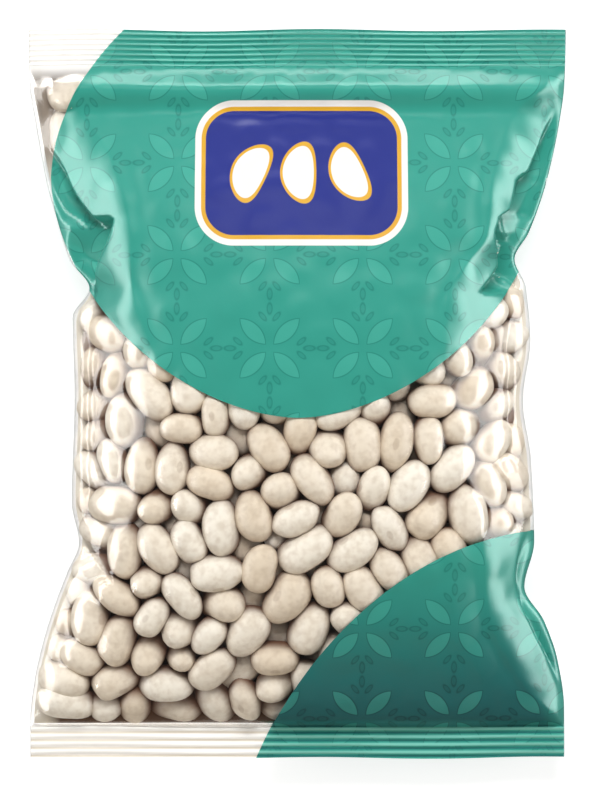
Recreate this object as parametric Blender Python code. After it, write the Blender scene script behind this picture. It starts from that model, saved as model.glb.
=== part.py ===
"""A sealed pillow pack of dried white beans, lying on its back with the front panel up.

Metres, +Z up, +Y towards the top seal. The origin is under the middle of the pack, on the face it rests on.
The pack is a tube of film, closed by a crimped seal at each end and swollen by the beans in it, so it is one
closed solid. A row of the tube is a loop: over the front from the left edge to the right one, then back under
the pack.
"""

import math

import bpy
import numpy as np

# The film tube and its seals
FLAT_WIDTH = 0.165  # of the tube laid flat, as it is at both seals
PACK_LENGTH = 0.2242  # over both seals
TOP_SEAL = 0.0111
BOTTOM_SEAL = 0.0096
SEAL_THICKNESS = 0.0008
SEAL_EDGE_POWER = 40  # how late the seal thins out towards the side edges
TOP_RIBS = 7
BOTTOM_RIBS = 4
RIB_DEPTH = 0.0006
SEAL_WAVES = ((0.0008, 61.0, 0.6), (0.0004, 118.0, 2.0))  # how it strays from level: height, pace and start
SEAL_WAVE_FADE = 0.020
EDGE_WAVE = (0.0003, 90.0, 1.0)  # how its cut edge strays from straight
EDGE_WAVE_FADE = 0.002

# The swollen body, at heights up the pack: the front panel's middle line and the side edges, above the floor
FRONT_LINE = [
    (-0.1025, 0.0130),
    (-0.1012, 0.0172),
    (-0.0985, 0.0212),
    (-0.0940, 0.0252),
    (-0.0850, 0.0303),
    (-0.0700, 0.0370),
    (-0.0500, 0.0430),
    (-0.0250, 0.0462),
    (0.0000, 0.0468),
    (0.0200, 0.0462),
    (0.0400, 0.0434),
    (0.0600, 0.0378),
    (0.0740, 0.0312),
    (0.0820, 0.0273),
    (0.0872, 0.0249),
    (0.0932, 0.0272),
    (0.0946, 0.0270),
    (0.0958, 0.0256),
    (0.1011, 0.0208),
]
SIDE_LINE = [
    (-0.1121, 0.0130),
    (-0.1025, 0.0130),
    (-0.0850, 0.0160),
    (-0.0500, 0.0200),
    (0.0000, 0.0205),
    (0.0500, 0.0180),
    (0.0850, 0.0165),
    (0.0960, 0.0190),
    (0.1011, 0.0205),
    (0.1121, 0.0205),
]
CROWN = 0.45  # how much of its height the front loses from its middle line to its sides
BACK_RUN = 0.026  # how far in from a side edge the back reaches its full depth
BACK_RISE = 0.024  # how far from a seal it does
BACK_SPARE = 1.15  # the back would be this much deeper, but for the floor that flattens it
SWELL_POWER = 1.32  # 1 rises straight, and more bends over sooner
SWELL_ROUNDNESS = 1.3  # 1 starts at a slope, and more starts steeper
SIDE_ROUNDNESS = [  # the same for the pack's sides, at heights up the pack: round beside the clear windows
    (-0.1025, 1.40),
    (-0.0850, 1.60),
    (-0.0450, 1.80),
    (0.0000, 1.85),
    (0.0220, 1.70),
    (0.0420, 1.18),
    (0.1011, 1.14),
]
LAP_WIDTH = 0.012  # of the seam that closes the tube along its back
LAP_RELIEF = 0.0005
LAP_EDGE = 0.0012  # over which the seam rises from the film beside it

# Half the pack's width from its centre line to each side edge, at heights up the pack
LEFT_EDGE = [
    (-0.1121, 0.0825),
    (-0.1000, 0.0825),
    (-0.0880, 0.0811),
    (-0.0757, 0.0783),
    (-0.0634, 0.0743),
    (-0.0540, 0.0706),
    (-0.0455, 0.0672),
    (-0.0330, 0.0694),
    (0.0000, 0.0685),
    (0.0240, 0.0692),
    (0.0328, 0.0640),
    (0.0415, 0.0700),
    (0.0538, 0.0740),
    (0.0661, 0.0774),
    (0.0847, 0.0808),
    (0.0950, 0.0824),
    (0.1121, 0.0825),
]
RIGHT_EDGE = [
    (-0.1121, 0.0825),
    (-0.0970, 0.0824),
    (-0.0819, 0.0802),
    (-0.0695, 0.0759),
    (-0.0590, 0.0698),
    (-0.0450, 0.0728),
    (-0.0200, 0.0718),
    (-0.0017, 0.0693),
    (0.0168, 0.0716),
    (0.0330, 0.0703),
    (0.0418, 0.0668),
    (0.0500, 0.0712),
    (0.0661, 0.0768),
    (0.0847, 0.0808),
    (0.0950, 0.0821),
    (0.1121, 0.0825),
]

# Half the width of the front's top, from the centre line to the bends where its sides start
LEFT_BEND = [
    (-0.1000, 0.0770),
    (-0.0911, 0.0725),
    (-0.0819, 0.0670),
    (-0.0719, 0.0615),
    (-0.0609, 0.0570),
    (-0.0472, 0.0530),
    (-0.0300, 0.0480),
    (-0.0100, 0.0435),
    (0.0082, 0.0425),
    (0.0199, 0.0464),
    (0.0369, 0.0508),
    (0.0480, 0.0508),
    (0.0612, 0.0526),
    (0.0736, 0.0574),
    (0.0791, 0.0606),
    (0.0870, 0.0668),
    (0.0960, 0.0750),
]
RIGHT_BEND = [
    (-0.0988, 0.0775),
    (-0.0911, 0.0708),
    (-0.0819, 0.0645),
    (-0.0719, 0.0596),
    (-0.0609, 0.0574),
    (-0.0472, 0.0565),
    (-0.0300, 0.0530),
    (-0.0100, 0.0480),
    (0.0145, 0.0448),
    (0.0299, 0.0455),
    (0.0376, 0.0500),
    (0.0492, 0.0580),
    (0.0646, 0.0592),
    (0.0723, 0.0608),
    (0.0800, 0.0634),
    (0.0877, 0.0675),
    (0.0960, 0.0765),
]

# Folds that run up the pack, as (height up the pack, distance right of the middle, relief) stations, and how
# far the relief spreads to the left and to the right: a ridge's is positive and a crease's is negative.
UPRIGHT_FOLDS = [
    # inside the upper left shoulder's bend
    (
        [
            (0.0050, -0.0400, 0.0000),
            (0.0200, -0.0446, -0.0005),
            (0.0370, -0.0486, -0.0007),
            (0.0480, -0.0484, -0.0007),
            (0.0610, -0.0498, -0.0007),
            (0.0736, -0.0546, -0.0005),
            (0.0850, -0.0640, 0.0000),
        ],
        (0.0040, 0.0040),
    ),
    # the lower and the upper part of the hollow outside it, and the thin ridge in the hollow
    (
        [
            (0.0285, -0.0632, 0.0000),
            (0.0325, -0.0636, -0.0040),
            (0.0369, -0.0638, -0.0060),
            (0.0415, -0.0628, -0.0072),
            (0.0476, -0.0600, -0.0080),
            (0.0522, -0.0584, -0.0076),
            (0.0548, -0.0578, 0.0000),
        ],
        (0.0105, 0.0014),
    ),
    (
        [
            (0.0480, -0.0612, 0.0000),
            (0.0520, -0.0630, -0.0058),
            (0.0560, -0.0662, -0.0056),
            (0.0615, -0.0700, -0.0046),
            (0.0680, -0.0728, -0.0034),
            (0.0780, -0.0768, 0.0000),
        ],
        (0.0062, 0.0014),
    ),
    (
        [
            (0.0500, -0.0650, 0.0000),
            (0.0526, -0.0668, 0.0012),
            (0.0577, -0.0722, 0.0012),
            (0.0677, -0.0760, 0.0008),
            (0.0720, -0.0768, 0.0000),
        ],
        (0.0011, 0.0011),
    ),
    # inside the upper right shoulder's bend
    (
        [
            (0.0100, 0.0400, 0.0000),
            (0.0220, 0.0412, -0.0005),
            (0.0376, 0.0474, -0.0007),
            (0.0492, 0.0548, -0.0008),
            (0.0646, 0.0562, -0.0007),
            (0.0760, 0.0592, -0.0005),
            (0.0860, 0.0655, 0.0000),
        ],
        (0.0040, 0.0040),
    ),
    # the hollow outside it, the thin ridge in the hollow and the strip beside the edge above it
    (
        [
            (0.0306, 0.0572, 0.0000),
            (0.0332, 0.0592, -0.0052),
            (0.0365, 0.0616, -0.0064),
            (0.0399, 0.0632, -0.0068),
            (0.0492, 0.0624, -0.0070),
            (0.0538, 0.0640, -0.0070),
            (0.0569, 0.0672, -0.0068),
            (0.0655, 0.0690, -0.0062),
            (0.0685, 0.0705, 0.0000),
        ],
        (0.0014, 0.0095),
    ),
    (
        [
            (0.0400, 0.0672, 0.0000),
            (0.0440, 0.0664, 0.0011),
            (0.0517, 0.0654, 0.0011),
            (0.0560, 0.0662, 0.0000),
        ],
        (0.0011, 0.0011),
    ),
    (
        [
            (0.0600, 0.0690, 0.0000),
            (0.0655, 0.0712, -0.0048),
            (0.0723, 0.0742, -0.0042),
            (0.0785, 0.0764, -0.0028),
            (0.0890, 0.0795, 0.0000),
        ],
        (0.0014, 0.0065),
    ),
    # the lower right corner: inside its bend, and the crease beside its edge
    (
        [
            (-0.1000, 0.0760, 0.0000),
            (-0.0890, 0.0666, -0.0008),
            (-0.0790, 0.0602, -0.0009),
            (-0.0700, 0.0562, -0.0009),
            (-0.0580, 0.0544, -0.0007),
            (-0.0420, 0.0530, 0.0000),
        ],
        (0.0070, 0.0038),
    ),
    (
        [
            (-0.0940, 0.0818, 0.0000),
            (-0.0818, 0.0786, -0.0020),
            (-0.0715, 0.0737, -0.0026),
            (-0.0630, 0.0700, -0.0026),
            (-0.0560, 0.0684, -0.0022),
            (-0.0470, 0.0694, -0.0016),
            (-0.0400, 0.0706, 0.0000),
        ],
        (0.0014, 0.0052),
    ),
    # the lower left corner: inside its bend, and the crease beside its edge
    (
        [
            (-0.0960, -0.0740, 0.0000),
            (-0.0800, -0.0645, -0.0009),
            (-0.0650, -0.0580, -0.0009),
            (-0.0480, -0.0535, 0.0000),
        ],
        (0.0028, 0.0070),
    ),
    (
        [
            (-0.0600, -0.0560, 0.0000),
            (-0.0560, -0.0588, -0.0022),
            (-0.0520, -0.0618, -0.0024),
            (-0.0480, -0.0646, -0.0020),
            (-0.0425, -0.0675, 0.0000),
        ],
        (0.0050, 0.0014),
    ),
    # the long soft pleats beside the clear window
    (
        [
            (-0.0420, -0.0640, 0.0000),
            (-0.0200, -0.0650, -0.0009),
            (0.0120, -0.0645, -0.0009),
            (0.0300, -0.0635, 0.0000),
        ],
        (0.0014, 0.0014),
    ),
    (
        [
            (-0.0180, 0.0655, 0.0000),
            (-0.0050, 0.0652, -0.0010),
            (0.0120, 0.0652, -0.0010),
            (0.0260, 0.0660, 0.0000),
        ],
        (0.0014, 0.0014),
    ),
]
FOLD_FREE_EDGE = 0.0025  # how far from a side edge the folds have their full relief
FOLD_FREE_SEAL = 0.004
LONG_SPREAD = 0.004  # a fold that spreads further than this slopes evenly on that side
LEAN_STEP = 0.001  # the height over which a fold's lean is measured
BACK_SHARE = 0.5  # of these folds' depth, on the back

# The clear windows, where the beans press into the film. The print's edges are two flattened ovals.
PRINT_CENTRE = (0.0003, 0.0668)
PRINT_HALF_SIZES = (0.0762, 0.0699, 0.0737)  # across, up and down
PRINT_POWER = 1.78  # 2 is an ellipse, and less is flatter between its ends
CORNER_CENTRE = (0.0750, -0.1725)
CORNER_HALF_SIZES = (0.1007, 0.1310)
CORNER_POWER = 1.9
BEAN_LENGTH = 0.0158
BEAN_WIDTH = 0.0110
BEAN_PITCH = 0.0135  # from one bean to the next in a row
ROW_PITCH = 0.8  # from one row to the next, as a share of that
BEAN_STRAY = 0.2  # how far a bean strays from the grid, as a share of its pitch
BEAN_SIZES = (0.88, 1.12)
BEAN_RELIEF = 0.0016
BEAN_FREE = (0.004, 0.014)  # how far from the pack's edges the beans start to show and show fully
PRINTED_RELIEF = 0.25  # of that relief, under the print
PRINT_FADE = (-0.004, 0.006)  # how far outside the print's edge that share ends
BEAN_SEED = 11

# The mesh
HALF_LOOP = 96  # steps across the front, and as many back under the pack
EDGE_CROWDING = 0.6  # how far those steps crowd towards the side edges, from 0 to 1
BODY_STEP = 0.0016
RIB_STEPS = 6  # rows for each rib
MOST_TRIANGLES = 9200

FILM_TEAL = (0.062, 0.392, 0.300, 1.0)
FILM_ROUGHNESS = 0.28


def smooth_through(stations, at):
    """Values on a smooth curve through (position, value) stations that doesn't overshoot them."""
    where, value = np.array(stations).T
    step = np.diff(where)
    slope = np.diff(value) / step
    tangent = np.zeros_like(value)
    product = slope[:-1] * slope[1:]
    total = np.where(product > 0, slope[:-1] + slope[1:], 1.0)
    tangent[1:-1] = np.where(product > 0, 2 * product / total, 0.0)
    i = np.clip(np.searchsorted(where, at) - 1, 0, len(step) - 1)
    t = np.clip((at - where[i]) / step[i], 0, 1)
    rise = t * t * (3 - 2 * t)
    start = t * (1 - t) ** 2 * step[i] * tangent[i]
    end = t * t * (t - 1) * step[i] * tangent[i + 1]
    return value[i] + rise * (value[i + 1] - value[i]) + start + end


def ramp(value, low, high):
    """0 up to low, 1 from high, and a smooth rise between them."""
    t = np.clip((value - low) / (high - low), 0, 1)
    return t * t * (3 - 2 * t)


def swell(distance, run, roundness=SWELL_ROUNDNESS):
    """How much of its full height the film has at this distance from an edge: a rounded rise over a run."""
    left = np.clip(1 - distance / run, 0, 1)
    return (1 - left**SWELL_POWER) ** (1 / roundness)


def heights_up_the_pack():
    """The rows of the mesh, from the bottom seal's cut edge to the top one's: close together on the ribs."""
    low = -PACK_LENGTH / 2
    high = PACK_LENGTH / 2
    bottom = np.linspace(low, low + BOTTOM_SEAL, BOTTOM_RIBS * RIB_STEPS + 1)
    top = np.linspace(high - TOP_SEAL, high, TOP_RIBS * RIB_STEPS + 1)
    body_rows = round((top[0] - bottom[-1]) / BODY_STEP)
    body = np.linspace(bottom[-1], top[0], body_rows + 1)[1:-1]
    return np.concatenate([bottom, body, top])


def steps_across():
    """Where the columns of the mesh are, from -1 at the left edge to 1 at the right one."""
    t = np.linspace(-1, 1, HALF_LOOP + 1)
    return (1 - EDGE_CROWDING) * t + EDGE_CROWDING * np.sin(t * math.pi / 2)


def rib_relief(y):
    """The crimp of both seals: ribs across the pack, which the front and back share."""
    top_start = PACK_LENGTH / 2 - TOP_SEAL
    bottom_end = BOTTOM_SEAL - PACK_LENGTH / 2
    top = np.where(y > top_start, np.sin((y - top_start) / TOP_SEAL * TOP_RIBS * 2 * math.pi), 0)
    bottom = np.where(y < bottom_end, np.sin((bottom_end - y) / BOTTOM_SEAL * BOTTOM_RIBS * 2 * math.pi), 0)
    return RIB_DEPTH / 2 * (top + bottom)


def fold_relief(x, y):
    """How far the folds raise or sink the film at a point of the front, seen from above."""
    ridges, creases = np.zeros_like(x), np.zeros_like(x)
    for stations, (spread_left, spread_right) in UPRIGHT_FOLDS:
        path = [(height, aside) for height, aside, _ in stations]
        depth = smooth_through([(height, relief) for height, _, relief in stations], y)
        middle = smooth_through(path, y)
        lean = (smooth_through(path, y + LEAN_STEP) - middle) / LEAN_STEP
        away = np.abs(x - middle) / np.sqrt(1 + lean**2)
        spread = np.where(x < middle, spread_left, spread_right)
        bell = np.exp(-((away / spread) ** 2))
        slope = np.clip(1 - away / spread, 0, 1)
        relief = depth * np.where(spread > LONG_SPREAD, slope, bell)
        ridges, creases = np.maximum(ridges, relief), np.minimum(creases, relief)
    return ridges + creases


def inside_oval(dx, dy, width, height, power):
    """Above 0 inside an oval of these half sizes: about how far inside it a point is."""
    return (1 - ((np.abs(dx) / width) ** power + (np.abs(dy) / height) ** power) ** (1 / power)) * height


def in_print(x, y):
    """Above 0 where the film is printed: in either oval, or above and right of the upper one's middle."""
    dx, dy = x - PRINT_CENTRE[0], y - PRINT_CENTRE[1]
    width, height_up, height_down = PRINT_HALF_SIZES
    main = inside_oval(dx, dy, width, np.where(dy > 0, height_up, height_down), PRINT_POWER)
    corner = inside_oval(x - CORNER_CENTRE[0], y - CORNER_CENTRE[1], *CORNER_HALF_SIZES, CORNER_POWER)
    return np.maximum(np.maximum(main, np.minimum(dx, dy)), corner)


def bean_relief(x, y):
    """How far the film sinks between the beans that press into it: on a loose grid, turned at random."""
    random = np.random.default_rng(BEAN_SEED)
    domes = np.zeros_like(x)
    rows = np.arange(-PACK_LENGTH / 2, PACK_LENGTH / 2, BEAN_PITCH * ROW_PITCH)
    for row, bean_y in enumerate(rows):
        for bean_x in np.arange(-FLAT_WIDTH / 2, FLAT_WIDTH / 2, BEAN_PITCH) + BEAN_PITCH / 2 * (row % 2):
            dx = x - bean_x - random.uniform(-BEAN_STRAY, BEAN_STRAY) * BEAN_PITCH
            dy = y - bean_y - random.uniform(-BEAN_STRAY, BEAN_STRAY) * BEAN_PITCH
            turn = random.uniform(0, math.pi)
            size = random.uniform(*BEAN_SIZES)
            along = (dx * math.cos(turn) + dy * math.sin(turn)) / (BEAN_LENGTH / 2 * size)
            across = (dy * math.cos(turn) - dx * math.sin(turn)) / (BEAN_WIDTH / 2 * size)
            domes = np.maximum(domes, 1 - along**2 - across**2)
    share = PRINTED_RELIEF + (1 - PRINTED_RELIEF) * ramp(-in_print(x, y), *PRINT_FADE)
    return BEAN_RELIEF * share * (np.sqrt(domes) - 1)


def plain_pillow():
    """The pack without its folds, as rows of loops, and how far each point is from a side edge and a seal."""
    across = steps_across()
    y, s = np.meshgrid(heights_up_the_pack(), np.concatenate([across, across[-2:0:-1]]), indexing="ij")
    front = np.broadcast_to(np.arange(2 * HALF_LOOP) <= HALF_LOOP, y.shape)
    half_width = np.where(s < 0, smooth_through(LEFT_EDGE, y), smooth_through(RIGHT_EDGE, y))
    x = s * half_width
    from_edge = (1 - np.abs(s)) * half_width
    from_top = PACK_LENGTH / 2 - TOP_SEAL - y
    from_bottom = y + PACK_LENGTH / 2 - BOTTOM_SEAL
    from_seal = np.clip(np.minimum(from_top, from_bottom), 0, None)
    side = smooth_through(SIDE_LINE, y)
    for height, pace, start in SEAL_WAVES:
        side += height * np.sin(x * pace + start) * (1 - ramp(from_seal, 0, SEAL_WAVE_FADE))
    height = np.maximum(smooth_through(FRONT_LINE, y) - smooth_through(SIDE_LINE, y), 0)
    bend = np.where(s < 0, smooth_through(LEFT_BEND, y), smooth_through(RIGHT_BEND, y))
    roundness = smooth_through(SIDE_ROUNDNESS, y)
    height *= swell(from_edge, half_width - bend, roundness) * (1 - CROWN * s**2) * (from_seal > 0)
    depth = smooth_through(SIDE_LINE, y) * BACK_SPARE
    depth *= swell(from_edge, BACK_RUN, roundness) * swell(from_seal, BACK_RISE)
    seal = SEAL_THICKNESS / 2 * (1 - np.abs(s) ** SEAL_EDGE_POWER)
    z = side + rib_relief(y) + np.where(front, height + seal, -depth - seal)
    return np.stack([x, y, z], axis=-1), from_edge, from_seal, front


def facing(points):
    """Unit normals of rows of loops, out of the pack."""
    ring = np.roll(points, -1, axis=1) - np.roll(points, 1, axis=1)
    normal = np.cross(ring, np.gradient(points, axis=0))
    return normal / np.maximum(np.linalg.norm(normal, axis=-1, keepdims=True), 1e-12)


def folded_pack():
    """The pack's surface with its folds, its lap seam and the beans that press into the film."""
    points, from_edge, from_seal, front = plain_pillow()
    x, y, _ = np.moveaxis(points, -1, 0)
    clear_of_edge = ramp(from_edge, 0, FOLD_FREE_EDGE) * ramp(from_seal, 0, FOLD_FREE_SEAL)
    relief = fold_relief(x, y) * np.where(front, 1.0, BACK_SHARE)
    relief += bean_relief(x, y) * ramp(from_edge, *BEAN_FREE) * ramp(from_seal, *BEAN_FREE)
    lap = 1 - ramp(np.abs(x), LAP_WIDTH / 2 - LAP_EDGE / 2, LAP_WIDTH / 2 + LAP_EDGE / 2)
    relief += np.where(front, 0.0, LAP_RELIEF * lap)
    points = points + facing(points) * (relief * clear_of_edge)[..., None]
    height, pace, start = EDGE_WAVE
    points[..., 1] += height * np.sin(x * pace + start) * (1 - ramp(from_seal, 0, EDGE_WAVE_FADE))
    return points


def rest_on_floor(points):
    """Flattens the back on the floor, keeps to the tube's width and centres the pack over the origin."""
    points[:, 2] = np.maximum(points[:, 2], 0)
    points[:, 0] = np.clip(points[:, 0], -FLAT_WIDTH / 2, FLAT_WIDTH / 2)
    points[:, :2] -= (points.min(0) + points.max(0))[:2] / 2
    return points


def film_faces(rows, ring):
    """Quads round the tube, and the two strips that close its cut ends."""
    faces = []
    for row in range(rows - 1):
        for i in range(ring):
            j = (i + 1) % ring
            faces.append((row * ring + i, row * ring + j, (row + 1) * ring + j, (row + 1) * ring + i))
    half = ring // 2
    for start, flip in ((0, False), ((rows - 1) * ring, True)):
        for i in range(half):
            corners = [start + i, start + (-i) % ring, start + (-i - 1) % ring, start + i + 1]
            corners = list(dict.fromkeys(corners))
            faces.append(tuple(reversed(corners)) if flip else tuple(corners))
    return faces


def printed_film():
    """The printed film's material, as a plain teal plastic."""
    material = bpy.data.materials.new("printed_film")
    material.use_nodes = True
    shader = material.node_tree.nodes["Principled BSDF"]
    shader.inputs["Base Color"].default_value = FILM_TEAL
    shader.inputs["Roughness"].default_value = FILM_ROUGHNESS
    shader.inputs["Metallic"].default_value = 0.0
    return material


def thin_out(pack):
    """Merges the pack's faces where they are nearly level, and sets the result on the floor again."""
    thin = pack.modifiers.new("thin_out", "DECIMATE")
    thin.ratio = MOST_TRIANGLES / (2 * len(pack.data.polygons))
    bpy.context.view_layer.update()
    mesh = bpy.data.meshes.new_from_object(pack.evaluated_get(bpy.context.evaluated_depsgraph_get()))
    pack.modifiers.clear()
    pack.data = mesh
    points = np.array([vertex.co for vertex in mesh.vertices])
    mesh.vertices.foreach_set("co", rest_on_floor(points).ravel())
    mesh.update()


def make_pack():
    """The whole pack as one object."""
    points = folded_pack()
    rows, ring, _ = points.shape
    mesh = bpy.data.meshes.new("bean_pack")
    mesh.from_pydata(rest_on_floor(points.reshape(-1, 3)).tolist(), [], film_faces(rows, ring))
    mesh.materials.append(printed_film())
    mesh.shade_smooth()
    pack = bpy.data.objects.new("bean_pack", mesh)
    bpy.context.scene.collection.objects.link(pack)
    thin_out(pack)
    return pack


def main():
    for old in list(bpy.data.objects):
        bpy.data.objects.remove(old)
    make_pack()


main()
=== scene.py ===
"""The looks of a sealed pillow pack of dried white beans, lying on its back with the front panel up.

Metres, +Z up, +Y towards the top seal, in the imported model's own frame. The film is made again at a finer
step than the solid has, over beans that are packed inside it, and is cut into its printed and its clear part.
"""

import math

import bpy
import numpy as np
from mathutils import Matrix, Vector
from mathutils.bvhtree import BVHTree

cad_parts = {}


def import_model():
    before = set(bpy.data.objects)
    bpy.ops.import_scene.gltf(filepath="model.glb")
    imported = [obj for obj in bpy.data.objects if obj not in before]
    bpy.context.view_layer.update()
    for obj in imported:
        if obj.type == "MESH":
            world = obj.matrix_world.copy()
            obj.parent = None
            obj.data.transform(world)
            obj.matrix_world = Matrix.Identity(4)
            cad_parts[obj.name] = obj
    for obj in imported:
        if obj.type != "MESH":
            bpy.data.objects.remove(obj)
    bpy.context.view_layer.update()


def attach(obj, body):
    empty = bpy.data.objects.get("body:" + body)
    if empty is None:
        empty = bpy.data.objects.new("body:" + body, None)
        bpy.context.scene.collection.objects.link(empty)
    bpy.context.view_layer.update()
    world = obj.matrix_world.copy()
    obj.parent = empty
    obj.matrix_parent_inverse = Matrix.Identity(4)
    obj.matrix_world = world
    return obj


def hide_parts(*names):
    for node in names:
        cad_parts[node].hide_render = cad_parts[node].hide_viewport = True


# The film tube and its seals, as the solid has them
FLAT_WIDTH = 0.165  # of the tube laid flat, as it is at both seals
PACK_LENGTH = 0.2242  # over both seals
TOP_SEAL = 0.0111
BOTTOM_SEAL = 0.0096
BODY_LOW = BOTTOM_SEAL - PACK_LENGTH / 2  # where the seals end and the beans' room starts
BODY_HIGH = PACK_LENGTH / 2 - TOP_SEAL
SEAL_THICKNESS = 0.0008
SEAL_EDGE_POWER = 40  # how late the seal thins out towards the side edges
TOP_RIBS = 7
BOTTOM_RIBS = 4
RIB_DEPTH = 0.0006
SEAL_WAVES = ((0.0008, 61.0, 0.6), (0.0004, 118.0, 2.0))  # how it strays from level: height, pace and start
SEAL_WAVE_FADE = 0.020
EDGE_WAVE = (0.0003, 90.0, 1.0)  # how its cut edge strays from straight
EDGE_WAVE_FADE = 0.002

# The swollen body, at heights up the pack: the front panel's middle line and the side edges, above the floor
FRONT_LINE = [
    (-0.1025, 0.0130), (-0.1012, 0.0172), (-0.0985, 0.0212), (-0.0940, 0.0252), (-0.0850, 0.0303),
    (-0.0700, 0.0370), (-0.0500, 0.0430), (-0.0250, 0.0462), (0.0000, 0.0468), (0.0200, 0.0462),
    (0.0400, 0.0434), (0.0600, 0.0378), (0.0740, 0.0312), (0.0820, 0.0273), (0.0872, 0.0249),
    (0.0932, 0.0272), (0.0946, 0.0270), (0.0958, 0.0256), (0.1011, 0.0208),
]
SIDE_LINE = [
    (-0.1121, 0.0130), (-0.1025, 0.0130), (-0.0850, 0.0160), (-0.0500, 0.0200), (0.0000, 0.0205),
    (0.0500, 0.0180), (0.0850, 0.0165), (0.0960, 0.0190), (0.1011, 0.0205), (0.1121, 0.0205),
]
CROWN = 0.45  # how much of its height the front loses from its middle line to its sides
BACK_RUN = 0.026  # how far in from a side edge the back reaches its full depth
BACK_RISE = 0.024  # how far from a seal it does
BACK_SPARE = 1.15  # the back would be this much deeper, but for the floor that flattens it
SWELL_POWER = 1.32  # 1 rises straight, and more bends over sooner
SWELL_ROUNDNESS = 1.3  # 1 starts at a slope, and more starts steeper
SIDE_ROUNDNESS = [  # the same for the pack's sides, at heights up the pack: round beside the clear windows
    (-0.1025, 1.40), (-0.0850, 1.60), (-0.0450, 1.80), (0.0000, 1.85), (0.0220, 1.70), (0.0420, 1.18),
    (0.1011, 1.14),
]
LAP_WIDTH = 0.012  # of the seam that closes the tube along its back
LAP_RELIEF = 0.0005
LAP_EDGE = 0.0012  # over which the seam rises from the film beside it

# Half the pack's width from its centre line to each side edge, at heights up the pack
LEFT_EDGE = [
    (-0.1121, 0.0825), (-0.1000, 0.0825), (-0.0880, 0.0811), (-0.0757, 0.0783), (-0.0634, 0.0743),
    (-0.0540, 0.0706), (-0.0455, 0.0672), (-0.0330, 0.0694), (0.0000, 0.0685), (0.0240, 0.0692),
    (0.0328, 0.0640), (0.0415, 0.0700), (0.0538, 0.0740), (0.0661, 0.0774), (0.0847, 0.0808),
    (0.0950, 0.0824), (0.1121, 0.0825),
]
RIGHT_EDGE = [
    (-0.1121, 0.0825), (-0.0970, 0.0824), (-0.0819, 0.0802), (-0.0695, 0.0759), (-0.0590, 0.0698),
    (-0.0450, 0.0728), (-0.0200, 0.0718), (-0.0017, 0.0693), (0.0168, 0.0716), (0.0330, 0.0703),
    (0.0418, 0.0668), (0.0500, 0.0712), (0.0661, 0.0768), (0.0847, 0.0808), (0.0950, 0.0821),
    (0.1121, 0.0825),
]

# Half the width of the front's top, from the centre line to the bends where its sides start
LEFT_BEND = [
    (-0.1000, 0.0770), (-0.0911, 0.0725), (-0.0819, 0.0670), (-0.0719, 0.0615), (-0.0609, 0.0570),
    (-0.0472, 0.0530), (-0.0300, 0.0480), (-0.0100, 0.0435), (0.0082, 0.0425), (0.0199, 0.0464),
    (0.0369, 0.0508), (0.0480, 0.0508), (0.0612, 0.0526), (0.0736, 0.0574), (0.0791, 0.0606),
    (0.0870, 0.0668), (0.0960, 0.0750),
]
RIGHT_BEND = [
    (-0.0988, 0.0775), (-0.0911, 0.0708), (-0.0819, 0.0645), (-0.0719, 0.0596), (-0.0609, 0.0574),
    (-0.0472, 0.0565), (-0.0300, 0.0530), (-0.0100, 0.0480), (0.0145, 0.0448), (0.0299, 0.0455),
    (0.0376, 0.0500), (0.0492, 0.0580), (0.0646, 0.0592), (0.0723, 0.0608), (0.0800, 0.0634),
    (0.0877, 0.0675), (0.0960, 0.0765),
]

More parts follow.
